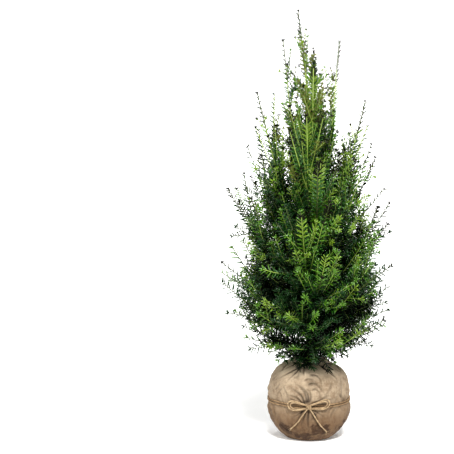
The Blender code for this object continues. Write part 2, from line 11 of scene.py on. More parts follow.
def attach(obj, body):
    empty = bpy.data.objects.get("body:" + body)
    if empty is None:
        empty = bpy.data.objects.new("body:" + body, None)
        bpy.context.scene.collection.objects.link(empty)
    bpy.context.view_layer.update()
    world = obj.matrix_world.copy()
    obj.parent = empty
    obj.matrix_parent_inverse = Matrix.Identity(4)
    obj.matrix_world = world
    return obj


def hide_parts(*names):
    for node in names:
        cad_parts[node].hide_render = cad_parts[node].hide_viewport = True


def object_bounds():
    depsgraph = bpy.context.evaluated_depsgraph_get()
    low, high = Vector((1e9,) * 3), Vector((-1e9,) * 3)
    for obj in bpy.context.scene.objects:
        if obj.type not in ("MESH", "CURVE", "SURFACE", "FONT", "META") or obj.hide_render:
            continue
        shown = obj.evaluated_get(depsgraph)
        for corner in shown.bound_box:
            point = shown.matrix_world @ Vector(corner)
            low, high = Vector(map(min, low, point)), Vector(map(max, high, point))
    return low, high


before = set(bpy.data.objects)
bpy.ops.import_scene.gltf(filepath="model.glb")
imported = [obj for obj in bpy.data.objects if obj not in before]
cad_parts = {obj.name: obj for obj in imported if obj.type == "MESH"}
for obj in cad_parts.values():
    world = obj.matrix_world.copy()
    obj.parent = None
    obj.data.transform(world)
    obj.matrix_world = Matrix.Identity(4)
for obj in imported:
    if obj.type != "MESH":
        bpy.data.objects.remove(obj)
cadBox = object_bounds()
up = Vector((0, 0, 1))

# camera, as the photo was taken: a long lens a little above the plant, which stands right of the middle
cameraSetup = {
    "distance": 4.5,
    "lookDown": 7.0,  # degrees
    "metresPerPixel": 0.00265,
    "framePixels": 454,
    "plantPixel": 310.4,  # across, of the plant's middle line
    "aimHeight": 0.5626,
    "sensor": 36.0,
}


def addCamera(setup):
    frameWidth = setup["metresPerPixel"] * setup["framePixels"]
    offset = (setup["plantPixel"] - setup["framePixels"] / 2) * setup["metresPerPixel"]
    down = math.radians(setup["lookDown"])
    turn = math.atan(offset / setup["distance"])
    level = setup["distance"] * math.cos(down)
    place = Vector((0, -level, setup["aimHeight"] + setup["distance"] * math.sin(down)))
    look = Vector((-math.sin(turn) * math.cos(down), math.cos(turn) * math.cos(down), -math.sin(down)))
    bpy.ops.object.camera_add(location=place, rotation=look.to_track_quat("-Z", "Y").to_euler())
    camera = bpy.context.object
    camera.name = "studioCamera"
    camera.data.sensor_width = setup["sensor"]
    camera.data.lens = setup["sensor"] * setup["distance"] / frameWidth
    bpy.context.scene.camera = camera


addCamera(cameraSetup)
print("camera set")


# shader nodes as expressions
class Wire:  # an output socket, with arithmetic
    def __init__(self, tree, socket=None):
        self.tree, self.socket = tree, socket

    def node(self, kind, settings=None, values=None, out=0):
        made = self.tree.nodes.new(kind)
        for name, value in (settings or {}).items():
            setattr(made, name, value)
        for name, value in (values or {}).items():
            if isinstance(value, Wire):
                self.tree.links.new(value.socket, made.inputs[name])
            else:
                made.inputs[name].default_value = value
        return Wire(self.tree, made.outputs[out])

    def maths(self, operation, first, second=0.0):
        return self.node("ShaderNodeMath", {"operation": operation}, {0: first, 1: second})

    def __add__(self, other):
        return self.maths("ADD", self, other)

    def __radd__(self, other):
        return self.maths("ADD", other, self)

    def __sub__(self, other):
        return self.maths("SUBTRACT", self, other)

    def __rsub__(self, other):
        return self.maths("SUBTRACT", other, self)

    def __mul__(self, other):
        return self.maths("MULTIPLY", self, other)

    def __rmul__(self, other):
        return self.maths("MULTIPLY", other, self)

    def band(self, low, high):  # 0 below low, 1 above high
        values = {"Value": self, "From Min": low, "From Max": high}
        return self.node("ShaderNodeMapRange", {"interpolation_type": "SMOOTHSTEP", "clamp": True}, values)

    def blend(self, first, second):  # two colours, by this factor
        values = {"Factor": self, 6: first, 7: second}
        return self.node("ShaderNodeMix", {"data_type": "RGBA"}, values, 2)

    def stretched(self, scale):
        return self.node("ShaderNodeMapping", None, {"Vector": self, "Scale": scale})

    def noise(self, scale, detail=3.0, roughness=0.55, out=0):
        values = {"Vector": self, "Scale": scale, "Detail": detail, "Roughness": roughness}
        return self.node("ShaderNodeTexNoise", None, values, out)

    def strayed(self, scale, detail, roughness, amount):  # a place, moved a little by noise
        values = {0: self.noise(scale, detail, roughness, out=1), 1: amount, 2: self}
        return self.node("ShaderNodeVectorMath", {"operation": "MULTIPLY_ADD"}, values)

    def axis(self, number):
        return self.node("ShaderNodeSeparateXYZ", None, {"Vector": self}, number)

    def bump(self, distance, strength=1.0):
        values = {"Strength": strength, "Distance": distance, "Height": self}
        return self.node("ShaderNodeBump", None, values)


def colour(red, green, blue):  # from a screen colour, 0 to 255
    parts = [part / 255 for part in (red, green, blue)]
    return (*[part / 12.92 if part < 0.04045 else ((part + 0.055) / 1.055) ** 2.4 for part in parts], 1.0)


def newMaterial(name, roughness, constants=None, surface=None):
    made = bpy.data.materials.new(name)
    made.use_nodes = True
    tree = made.node_tree
    shader = tree.nodes["Principled BSDF"]
    for socket, value in {"Roughness": roughness, **(constants or {})}.items():
        shader.inputs[socket].default_value = value
    if surface:  # makes the colour and the bump from the place on the piece
        place = Wire(tree).node("ShaderNodeTexCoord", out=3)
        for socket, wire in zip(("Base Color", "Normal"), surface(place)):
            tree.links.new(wire.socket, shader.inputs[socket])
    return made


clothLook = {
    "pale": colour(156, 140, 118),
    "dark": colour(110, 90, 69),
    # damp stains together with painted shade, low on the ball
    "dampAndPaintedShade": colour(98, 73, 47),
    # painted light for the cloth near the neck
    "paintedNeckLight": colour(178, 163, 140),
    "grime": colour(68, 46, 27),
    # painted shade for the creases of the folds
    "paintedCreaseShade": colour(30, 20, 12),
    "soil": colour(56, 35, 16),
    "threadPitch": 0.0021,
    "bump": 0.0009,
    # middle and size of the soil marks that come through the cloth
    "marks": (
        ((-0.061, -0.077, 0.036), 0.021),
        ((-0.052, -0.082, 0.018), 0.014),
        ((0.022, -0.093, 0.040), 0.020),
        ((0.042, -0.088, 0.037), 0.018),
        ((-0.006, -0.086, 0.014), 0.020),
        ((-0.030, -0.080, 0.012), 0.013),
        ((0.089, -0.045, 0.052), 0.014),
        ((0.086, -0.050, 0.030), 0.013),
        ((0.085, 0.040, 0.034), 0.022),
        ((0.010, 0.098, 0.046), 0.024),
        ((-0.070, 0.070, 0.030), 0.022),
        ((-0.098, -0.010, 0.040), 0.014),
    ),
}


def clothSurface(place, look=clothLook):
    flat = place.node("ShaderNodeUVMap", {"uv_map": "cloth"})
    bent = flat.strayed(60, 2, 0.55, (0.004, 0.004, 0))
    rate = 2 * math.pi / look["threadPitch"]
    warp, weft = [place.maths("SINE", bent.axis(number) * rate) * 0.5 + 0.5 for number in (0, 1)]
    weave = place.maths("MAXIMUM", warp * 0.9, weft)
    slubs = flat.stretched((30, 900, 1)).noise(1.0, 2) + flat.stretched((900, 30, 1)).noise(1.0, 2)
    fine = place.noise(420, 2)
    mottle = place.noise(22, 4, 0.6) * 1.3 + place.noise(115, 4, 0.62) * 1.2
    tint = mottle + slubs * 0.55 + weave * 0.16 + fine * 0.25 - 1.45
    base = tint.band(0.0, 1.0).blend(look["dark"], look["pale"])
    # damp, stained and in painted shade below; painted light near the neck, where the crown's shade falls
    height = place.axis(2)
    # darker towards the bottom: partly damp stains, partly painted shade
    base = ((1 - height.band(0.040, 0.150)) * 0.88).blend(base, look["dampAndPaintedShade"])
    # lighter near the neck: painted light against the crown's shade
    base = (height.band(0.158, 0.196) * 0.75).blend(base, look["paintedNeckLight"])
    streaks = place.stretched((1, 1, 0.35)).noise(75, 5, 0.65)
    low = 1 - height.band(0.0, 0.105)
    base = (low * streaks.band(0.44, 0.62) * 0.80).blend(base, look["grime"])
    # soil marks
    stray = 0.030
    strayed = place.strayed(55, 4, 0.6, (stray, stray, stray))
    soil = None
    for middle, size in look["marks"]:
        shifted = tuple(part + stray / 2 for part in middle)
        away = place.node("ShaderNodeVectorMath", {"operation": "DISTANCE"}, {0: strayed, 1: shifted}, 1)
        mark = 1 - away.band(size * 0.72, size * 1.02)
        soil = mark if soil is None else place.maths("MAXIMUM", soil, mark)
    patchy = place.noise(150, 3).band(0.34, 0.58) * 0.45 + 0.55
    base = (soil * patchy * 0.95).blend(base, look["soil"])
    # painted shade in the folds' creases, darkening the cloth's colour
    paintedCreaseShade = place.node("ShaderNodeAttribute", {"attribute_name": "paintedCreaseShade"}, None, 2)
    base = (paintedCreaseShade * (0.82 + 0.40 * fine)).blend(base, look["paintedCreaseShade"])
    return base, (weave * 0.7 + slubs * 0.25 + fine * 0.5).bump(look["bump"], 0.65)


def soilSurface(place):
    lumps = place.noise(260, 5, 0.65)
    return lumps.band(0.35, 0.65).blend(colour(30, 22, 16), colour(74, 56, 40)), lumps.bump(0.003)


def juteSurface(dark, pale):
    def surface(place):
        fibres = place.noise(900, 3)
        tint = fibres * 0.6 + place.noise(90, 2) * 0.4
        return tint.band(0.36, 0.64).blend(dark, pale), fibres.bump(0.0004)
    return surface


def barkSurface(place):
    plates = place.stretched((1, 1, 0.25)).noise(240, 4, 0.6)
    tint = plates.band(0.38, 0.62).blend(colour(66, 44, 32), colour(132, 96, 72))
    tint = (place.noise(45, 3).band(0.48, 0.7) * 0.55).blend(tint, colour(104, 104, 66))
    return place.axis(2).band(0.55, 0.85).blend(tint, colour(112, 134, 52)), plates.bump(0.0012)


# each spray of needles wears one of these, the lightest first; the deep tone is partly older needles and
# partly painted shade, the shade tone is painted shade for the crown's inside
needleTones = {  # colour, and how strongly it shines
    "bright": (colour(114, 144, 36), 1.0),
    "fresh": (colour(80, 124, 24), 1.0),
    "leaf": (colour(40, 88, 16), 0.9),
    "deep": (colour(18, 56, 12), 0.45),
    "shade": (colour(4, 18, 4), 0.06),
    "tips": (colour(26, 28, 14), 0.15),
    "olive": (colour(104, 110, 46), 0.50),
}
brightTone, freshTone, leafTone, deepTone, shadeTone, tipTone, oliveTone = range(1, 8)
twigTones = {
    "green": colour(140, 162, 72),
    "olive": colour(66, 78, 34),
    "brown": colour(86, 62, 42),
}
greenTwig, oliveTwig, brownTwig = range(3)
needleFinishes = [
    newMaterial(f"needle_{name}", 0.25, {"Base Color": plain, "Specular IOR Level": shine})
    for name, (plain, shine) in needleTones.items()
]
twigFinishes = [newMaterial(f"twig_{name}", 0.55, {"Base Color": plain}) for name, plain in twigTones.items()]
clothFinish = newMaterial("burlapCloth", 0.92, surface=clothSurface)
soilFinish = newMaterial("ballSoil", 0.98, surface=soilSurface)
bowFinish = newMaterial("juteBow", 0.85, surface=juteSurface(colour(118, 96, 70), colour(182, 160, 127)))
turnFinish = newMaterial("juteTurns", 0.85, surface=juteSurface(colour(92, 70, 48), colour(158, 132, 98)))
barkFinish = newMaterial("yewBark", 0.8, surface=barkSurface)
print("materials made")


# meshes from arrays
def deselectAll():
    for item in list(bpy.context.selected_objects):
        item.select_set(False)


def select(item):
    deselectAll()
    item.select_set(True)
    bpy.context.view_layer.objects.active = item


def meshObject(name, corners, faces, finish, smoothAngle=None):  # each array of faces is of one size
    mesh = bpy.data.meshes.new(name)
    mesh.vertices.add(len(corners))
    mesh.vertices.foreach_set("co", np.asarray(corners, np.float32).ravel())
    sizes = np.concatenate([np.full(len(group), group.shape[1]) for group in faces])
    flat = np.concatenate([group.ravel() for group in faces])
    mesh.loops.add(len(flat))
    mesh.loops.foreach_set("vertex_index", flat.astype(np.int32))
    mesh.polygons.add(len(sizes))
    mesh.polygons.foreach_set("loop_start", np.concatenate([[0], np.cumsum(sizes)[:-1]]).astype(np.int32))
    mesh.update(calc_edges=True)
    mesh.validate()
    mesh.materials.append(finish)
    made = bpy.data.objects.new(name, mesh)
    bpy.context.scene.collection.objects.link(made)
    if smoothAngle:
        select(made)
        bpy.ops.object.shade_smooth_by_angle(angle=math.radians(smoothAngle))
        made.select_set(False)
    return made


def unit(vectors):
    return vectors / np.maximum(np.linalg.norm(vectors, axis=-1, keepdims=True), 1e-12)


def asRows(points):  # vectors as an array
    return np.array([tuple(point) for point in points])


def pathLengths(points):  # from the first point to each point, along the line
    return np.concatenate([[0], np.cumsum(np.linalg.norm(np.diff(points, axis=0), axis=1))])


def eased(share):
    return share * share * (3 - 2 * share)


def lineFrames(points):  # heading, side and up along a line, without twist
    headings = unit(np.gradient(points, axis=0))
    side = np.cross(headings[0], (0.0, 0.0, 1.0))
    side = side if np.linalg.norm(side) > 0.1 else np.cross(headings[0], (1.0, 0.0, 0.0))
    sides = []
    for heading in headings:
        side = side - heading * side.dot(heading)
        side = side / np.linalg.norm(side)
        sides.append(side)
    sides = np.array(sides)
    return headings, sides, np.cross(headings, sides)


def tube(points, radii, sides, frames=None, closed=False):
    points, radii = np.asarray(points, float), np.asarray(radii, float)
    _, across, over = frames or lineFrames(points)
    turn = 2 * math.pi * np.arange(sides) / sides
    ring = np.cos(turn)[None, :, None] * across[:, None] + np.sin(turn)[None, :, None] * over[:, None]
    if radii.ndim == 1:
        radii = radii[:, None]
    corners = (points[:, None] + ring * radii[..., None]).reshape(-1, 3)
    count, step = len(points), np.arange(sides)
    after = (step + 1) % sides
    rows = np.arange(count if closed else count - 1)[:, None]
    ahead = (rows + 1) % count
    quads = (rows * sides + step, rows * sides + after, ahead * sides + after, ahead * sides + step)
    faces = [np.stack([part.ravel() for part in quads], 1)]
    if not closed:  # a middle corner closes each end
        corners = np.concatenate([corners, points[:1], points[-1:]])
        first, last, top = len(corners) - 2, len(corners) - 1, (count - 1) * sides
        faces.append(np.stack([np.full(sides, first), after, step], 1))
        faces.append(np.stack([np.full(sides, last), step + top, after + top], 1))
    return corners, faces


def joined(parts):  # several tubes as one array of corners and their faces
    faces, start = [], 0
    for corners, groups in parts:
        faces += [group + start for group in groups]
        start += len(corners)
    return np.concatenate([corners for corners, _ in parts]), faces


def finishPiece(piece, slot, *nodes):
    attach(piece, "root")
    if nodes:
        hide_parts(*nodes)


# root ball
ballShape = {
    "radius": 0.110, "waist": 0.090, "upper": (0.116, 2.8), "lower": (0.104, 2.2),
    "shoulder": 0.199, "neckFoot": (0.050, 0.2045), "neckLip": (0.041, 0.2125),
    "neckInside": (0.033, 0.2115), "soil": (0.029, 0.2035),
    "twine": 0.103, "bite": 0.003, "biteWidth": 0.013,
    "segments": 400, "sideRings": 150, "neckRings": 9,
    "pleats": 8, "pleatDepth": 0.05, "pleatFrom": 0.140,
    "lumps": 0.0020, "ripples": 0.0007, "gather": 0.022, "rim": 0.0022,
    "flatUnder": 0.006, "flatByTwine": 0.009, "gatherFrom": 0.185, "gatherRise": 0.02,
    "mound": 0.0032, "moundRough": 0.05,
}
# folds in the cloth: angle and height at three places, depth, half width and how dark the crease's painted
# shade is
frontFolds = (
    (-112, 0.202, -124, 0.189, -146, 0.165, 0.0080, 0.0025, 1.0),
    (-109, 0.199, -116, 0.185, -126, 0.165, 0.0055, 0.0021, 0.9),
    (-103, 0.206, -101, 0.195, -98, 0.180, 0.0070, 0.0023, 1.0),
    (-63, 0.206, -53, 0.191, -39, 0.164, 0.0090, 0.0027, 1.0),
    (-55, 0.200, -50, 0.187, -43, 0.171, 0.0045, 0.0021, 0.8),
    (-84, 0.205, -83, 0.198, -80, 0.190, 0.0035, 0.0018, 0.7),
    (-136, 0.203, -143, 0.192, -162, 0.178, 0.0040, 0.0020, 0.8),
    (-28, 0.203, -24, 0.190, -10, 0.172, 0.0040, 0.0020, 0.8),
    # fanning out from the knot, upwards
    (-97, 0.106, -108, 0.124, -124, 0.131, 0.0030, 0.0028, 0.60),
    (-96, 0.109, -103, 0.134, -122, 0.150, 0.0036, 0.0030, 0.75),
    (-94, 0.112, -97, 0.142, -113, 0.161, 0.0032, 0.0028, 0.65),
    (-92, 0.113, -92, 0.136, -103, 0.156, 0.0036, 0.0030, 0.75),
    (-90, 0.113, -87, 0.134, -94, 0.150, 0.0030, 0.0026, 0.60),
    # the twist beside them
    (-90, 0.159, -77, 0.158, -66, 0.130, 0.0042, 0.0030, 0.60),
    (-84, 0.146, -77, 0.144, -73, 0.124, 0.0034, 0.0028, 0.50),
    (-87, 0.183, -72, 0.174, -71, 0.148, 0.0036, 0.0028, 0.50),
    (-96, 0.170, -86, 0.172, -76, 0.161, 0.0032, 0.0026, 0.40),
    (-84, 0.110, -72, 0.122, -60, 0.130, 0.0028, 0.0028, 0.55),
    (-80, 0.112, -66, 0.118, -52, 0.118, 0.0020, 0.0028, 0.45),
    # below the knot
    (-94, 0.094, -97, 0.070, -103, 0.044, 0.0034, 0.0028, 0.70),
    (-90, 0.092, -91, 0.062, -89, 0.036, 0.0036, 0.0030, 0.75),
    (-87, 0.094, -83, 0.076, -80, 0.056, 0.0034, 0.0028, 0.70),
    (-96, 0.096, -105, 0.080, -116, 0.068, 0.0024, 0.0028, 0.55),
    (-85, 0.096, -76, 0.084, -67, 0.072, 0.0024, 0.0028, 0.55),
    (-98, 0.090, -106, 0.060, -110, 0.032, 0.0024, 0.0030, 0.55),
    (-83, 0.088, -77, 0.056, -75, 0.034, 0.0026, 0.0030, 0.60),
)


def ballRadius(height, shape=ballShape):
    rise = np.asarray(height, float) - shape["waist"]
    upper = 1 - np.abs(np.clip(rise, 0, None) / shape["upper"][0]) ** shape["upper"][1]
    lower = 1 - np.abs(np.clip(rise, None, 0) / shape["lower"][0]) ** shape["lower"][1]
    upper = np.clip(upper, 1e-6, None) ** (1 / shape["upper"][1])
    lower = np.clip(lower, 1e-6, None) ** (1 / shape["lower"][1])
    dent = shape["bite"] * np.exp(-(((height - shape["twine"]) / shape["biteWidth"]) ** 2))
    return shape["radius"] * np.where(rise > 0, upper, lower) - dent


def clothProfile(shape):  # (radius, height) from the middle of the underside to the soil
    share = np.linspace(0, 1, shape["sideRings"])
    heights = shape["shoulder"] * (0.5 - 0.5 * np.cos(math.pi * share))
    side = np.stack([ballRadius(heights), heights], 1)
    foot = np.stack([np.linspace(0, side[0, 0], 10)[:-1], np.zeros(9)], 1)
    knots = [side[-1], *[shape[key] for key in ("neckFoot", "neckLip", "neckInside", "soil")]]
    knots.append((0.0, shape["soil"][1]))
    neck = []
    for start, end in zip(knots, knots[1:]):
        for step in range(1, shape["neckRings"] + 1):
            share = step / shape["neckRings"]
            neck.append(tuple(np.array(start) * (1 - share) + np.array(end) * share))
    return np.concatenate([foot, side, np.array(neck)])


def waves(angle, height, seed, count, low, high):  # even random ripples over the ball
    rng = np.random.default_rng(seed)
    total = np.zeros_like(angle)
    for _ in range(count):
        turns = rng.integers(low, high)
        rate = rng.uniform(low, high) * 9.0 * rng.choice((-1, 1))
        total += np.cos(turns * angle + rate * height + rng.uniform(0, 6.3))
    return total / math.sqrt(count)


# the second array is painted shade along the creases
def foldMarks(angle, height, folds, radius=0.105):  # how far the cloth is pushed in, and how dark it is
    depth, dark = np.zeros_like(angle), np.zeros_like(angle)
    for startTurn, startHeight, midTurn, midHeight, endTurn, endHeight, deep, half, shade in folds:
        turn = np.angle(np.exp(1j * (angle - math.radians(startTurn)))) * radius
        rise = height - startHeight
        knots = np.array([(0, 0), (midTurn - startTurn, midHeight - startHeight),
                          (endTurn - startTurn, endHeight - startHeight)], float)
        knots[:, 0] = np.radians(knots[:, 0]) * radius
        t = np.linspace(0, 1, 8)[:, None]
        middle = 2 * knots[1] - (knots[0] + knots[2]) / 2
        line = knots[0] * (1 - t) ** 2 + middle * 2 * t * (1 - t) + knots[2] * t**2
        reach = np.hypot(*(line[-1] - line[0])) + 0.02
        near = np.nonzero((np.abs(turn) < reach) & (np.abs(rise) < reach))[0]
        x, y = turn[near], rise[near]
        gap, place, side = np.full(len(near), 1.0), np.zeros(len(near)), np.zeros(len(near))
        for step in range(7):
            way = line[step + 1] - line[step]
            offX, offY = x - line[step, 0], y - line[step, 1]
            share = np.clip((offX * way[0] + offY * way[1]) / way.dot(way), 0, 1)
            offX, offY = offX - share * way[0], offY - share * way[1]
            distance = np.hypot(offX, offY)
            closer = distance < gap
            gap = np.where(closer, distance, gap)
            place = np.where(closer, (step + share) / 7, place)
            side = np.where(closer, np.sign(way[0] * offY - way[1] * offX), side)
        fade = np.clip(1.0 - place, 0, 1) ** 0.6 * np.clip(place / 0.10 + 0.5, 0, 1)
        groove = np.exp(-((gap / (0.85 * half)) ** 2))
        lip = np.exp(-(((gap - 1.8 * half) / (0.8 * half)) ** 2)) * np.where(side > 0, 0.60, 0.22)
        depth[near] += deep * (groove - lip) * fade
        # painted shade along the groove
        dark[near] += 1.15 * shade * np.exp(-((gap / (0.90 * half)) ** 2)) * fade
    return depth, np.clip(dark, 0, 1)


def randomFolds(seed):
    rng = random.Random(seed)
    folds = []
    for number in range(24):  # gathers at the neck, where the front has none
        turn = number * 360 / 24 + rng.uniform(-5, 5)
        if 195 < turn % 360 < 350:
            continue
        drift = rng.uniform(-22, 22)
        low = rng.uniform(0.160, 0.184)
        folds.append((turn, 0.204, turn + drift * 0.3, 0.191, turn + drift, low,
                      rng.uniform(0.003, 0.006), 0.0029, rng.uniform(0.6, 1.0)))
    for _ in range(90):  # creases down the side
        turn, height = rng.uniform(0, 360), rng.uniform(0.02, 0.175)
        if 240 < turn < 300 and rng.random() < 0.6:
            continue
        end = height + rng.choice((-1, 1)) * rng.uniform(0.015, 0.045)
        end = min(max(end, 0.012), 0.18)
        drift, bow = rng.uniform(-16, 16), rng.uniform(-5, 5)
        folds.append((turn, height, turn + drift / 2 + bow, (height + end) / 2, turn + drift, end,
                      rng.uniform(0.0006, 0.0018), rng.uniform(0.0020, 0.0036), rng.uniform(0.12, 0.42)))
    return folds


def makeCloth(shape):
    profile = clothProfile(shape)
    mesh = bpy.data.meshes.new("burlap_wrap")
    mesh.from_pydata([(radius, 0, height) for radius, height in profile],
                     [(step, step + 1) for step in range(len(profile) - 1)], [])
    cloth = bpy.data.objects.new("burlap_wrap", mesh)
    bpy.context.scene.collection.objects.link(cloth)
    select(cloth)
    bpy.ops.object.mode_set(mode="EDIT")
    bpy.ops.mesh.select_all(action="SELECT")
    bpy.ops.mesh.spin(steps=shape["segments"], angle=2 * math.pi, center=(0, 0, 0), axis=(0, 0, 1))
    bpy.ops.mesh.select_all(action="SELECT")
    bpy.ops.mesh.remove_doubles(threshold=1e-6)
    bpy.ops.mesh.normals_make_consistent(inside=False)
    bpy.ops.object.mode_set(mode="OBJECT")

    places = np.empty(len(mesh.vertices) * 3)
    mesh.vertices.foreach_get("co", places)
    places = places.reshape(-1, 3)
    radius, height = np.hypot(places[:, 0], places[:, 1]), places[:, 2].copy()
    angle = np.arctan2(places[:, 1], places[:, 0])
    # cloth map in metres, with the seam behind
    corners = np.empty(len(mesh.loops), np.int64)
    mesh.loops.foreach_get("vertex_index", corners)
    order = np.argmin(sum(np.abs(profile[None, :, axis] - part[:, None])
                          for axis, part in enumerate((radius, height))), 1)
    turn = angle + math.pi / 2
    turn = np.where(turn > math.pi, turn - 2 * math.pi, turn)
    starts = np.empty(len(mesh.polygons), np.int64)
    counts = np.empty(len(mesh.polygons), np.int64)
    mesh.polygons.foreach_get("loop_start", starts)
    mesh.polygons.foreach_get("loop_total", counts)
    loopTurn = turn[corners]
    firstTurn = np.repeat(loopTurn[starts], counts)
    loopTurn = firstTurn + (loopTurn - firstTurn + math.pi) % (2 * math.pi) - math.pi
    flat = np.stack([loopTurn * shape["radius"], pathLengths(profile)[order][corners]], 1)
    mesh.uv_layers.new(name="cloth").data.foreach_set("uv", flat.ravel())

    onSide = np.clip(height / shape["flatUnder"], 0, 1) * (radius > 0.001)
    pleat = np.clip((height - shape["pleatFrom"]) / (shape["neckLip"][1] - shape["pleatFrom"]), 0, 1)
    pleat = eased(pleat) * shape["pleatDepth"] * np.cos(shape["pleats"] * angle)
    inNeck = np.clip((0.2045 - height) / 0.004, 0, 1)
    deep, dark = foldMarks(angle, height, frontFolds + tuple(randomFolds(7)))
    lumps = shape["lumps"] * waves(angle, height, 3, 14, 2, 9)
    ripples = shape["ripples"] * waves(angle, height, 4, 24, 10, 30)
    clear = np.exp(-(((height - shape["twine"]) / shape["flatByTwine"]) ** 2))
    moved = (lumps * (1 - 0.9 * clear) + ripples * (1 - 0.8 * clear) - deep) * onSide
    gather = shape["gather"] * np.clip((height - shape["gatherFrom"]) / shape["gatherRise"], 0, 1) * (
        0.6 * np.cos(19 * angle + 0.6) + 0.5 * np.cos(31 * angle + 2.0))
    reach = radius * (1 + (pleat + gather) * np.clip(radius / 0.03, 0, 1))
    outward = np.stack([np.cos(angle), np.sin(angle), np.zeros_like(angle)], 1)
    places = outward * (reach + moved * (0.35 + 0.65 * inNeck))[:, None]
    places[:, 2] = height - np.clip(deep, 0, None) * 0.5 * np.clip((height - 0.17) / 0.03, 0, 1)
    rim = (height > 0.206) * (radius > 0.030)
    places[:, 2] += rim * shape["rim"] * np.cos(23 * angle + 1.0) * np.cos(7 * angle)
    mesh.vertices.foreach_set("co", places.astype(np.float32).ravel())
    # painted shade for the creases, read by the cloth's colour
    paintedCreaseShade = mesh.attributes.new("paintedCreaseShade", "FLOAT", "POINT")
    paintedCreaseShade.data.foreach_set("value", (dark * onSide).astype(np.float32))
    mesh.update()
    mesh.materials.append(clothFinish)
    bpy.ops.object.shade_smooth()
    return cloth


def makeSoil(shape):  # a low lumpy mound inside the neck
    deselectAll()
    radius, level = shape["soil"][0] + 0.003, shape["soil"][1]
    bpy.ops.mesh.primitive_uv_sphere_add(segments=48, ring_count=24, radius=1, location=(0, 0, 0))
    mound = bpy.context.object
    mound.name = "ball_soil"
    rng = np.random.default_rng(5)
    places = asRows(corner.co for corner in mound.data.vertices)
    rough = 1 + shape["moundRough"] * rng.standard_normal(len(places))
    places = places * (radius, radius, shape["mound"]) * rough[:, None] + (0, 0, level + 0.001)
    mound.data.vertices.foreach_set("co", places.astype(np.float32).ravel())
    mound.data.materials.append(soilFinish)
    bpy.ops.object.shade_smooth()
    return mound


clothPiece = makeCloth(ballShape)
finishPiece(clothPiece, "burlap", "root_ball")
finishPiece(makeSoil(ballShape), None)
print("root ball wrapped:", len(clothPiece.data.polygons), "faces")

# jute twine
twineShape = {
    "radius": 0.00175, "pitch": 0.0062, "clearance": 0.0003, "plies": 3, "plySides": 6,
    "twist": 0.0095,  # length of one twist
    "knot": (0.0085, 0.0050),  # half its width and depth
    "loopReach": 0.057, "loopHalfHeight": 0.0200,
    "loopTilts": (0.06, 0.16),
    "tailSpread": 0.048, "tailDrops": (0.068, 0.076),
    "winding": (0.0052, 0.0034, 0.0052), "windingSway": 0.0012, "windingTurns": 2.6,
    "fibres": 16, "fibreLength": (0.005, 0.011), "fibreRadius": (0.00032, 0.00016),
}


def twisted(points, shape, frames=None, closed=False):
    points = np.asarray(points, float)
    gaps = np.linalg.norm(np.diff(points, axis=0), axis=1)
    distance = pathLengths(points)
    length = distance[-1] + (gaps.mean() if closed else 0)
    turns = max(round(length / shape["twist"]), 1)
    frames = frames or lineFrames(points)
    parts = []
    for ply in range(shape["plies"]):
        turn = 2 * math.pi * (ply / shape["plies"] + turns * distance / length)
        offset = (frames[1] * np.cos(turn)[:, None] + frames[2] * np.sin(turn)[:, None])
        line = points + offset * (shape["radius"] * 0.50)
        radii = np.full(len(points), shape["radius"] * 0.56)
        parts.append(tube(line, radii, shape["plySides"], frames, closed))
    return parts


def overBall(across, height, standOff):
    reach = float(ballRadius(height)) + standOff
    angle = across / reach
    return (math.sin(angle) * reach, -math.cos(angle) * reach, height)


def smoothLine(knots, count):  # a round curve through the knots
    knots = np.asarray(knots, float)
    padded = np.concatenate([[2 * knots[0] - knots[1]], knots, [2 * knots[-1] - knots[-2]]])
    share = np.linspace(0, len(knots) - 1 - 1e-9, count)
    index = share.astype(int)
    t = (share - index)[:, None]
    before, start, end, after = (padded[index + step] for step in range(4))
    return 0.5 * (2 * start + (end - before) * t + (2 * before - 5 * start + 4 * end - after) * t**2
                  + (3 * start - before - 3 * end + after) * t**3)


def makeTurn(name, height, shape, seed):
    count = 720
    angle = 2 * math.pi * np.arange(count) / count
    rng = np.random.default_rng(seed)
    wander = sum(rng.uniform(0.1, 0.35) * np.cos(rate * angle + rng.uniform(0, 6.3)) for rate in (2, 3, 5, 8))
    level = height + wander * 0.0011
    reach = float(ballRadius(height)) + shape["clearance"] + shape["radius"]
    outward = np.stack([np.cos(angle), np.sin(angle), np.zeros(count)], 1)
    points = outward * reach + np.array([0, 0, 1.0]) * level[:, None]
    headings = np.stack([-np.sin(angle), np.cos(angle), np.zeros(count)], 1)
    over = np.tile((0.0, 0.0, 1.0), (count, 1))
    parts = twisted(points, shape, (headings, outward, over), closed=True)
    return meshObject(name, *joined(parts), turnFinish, 60)


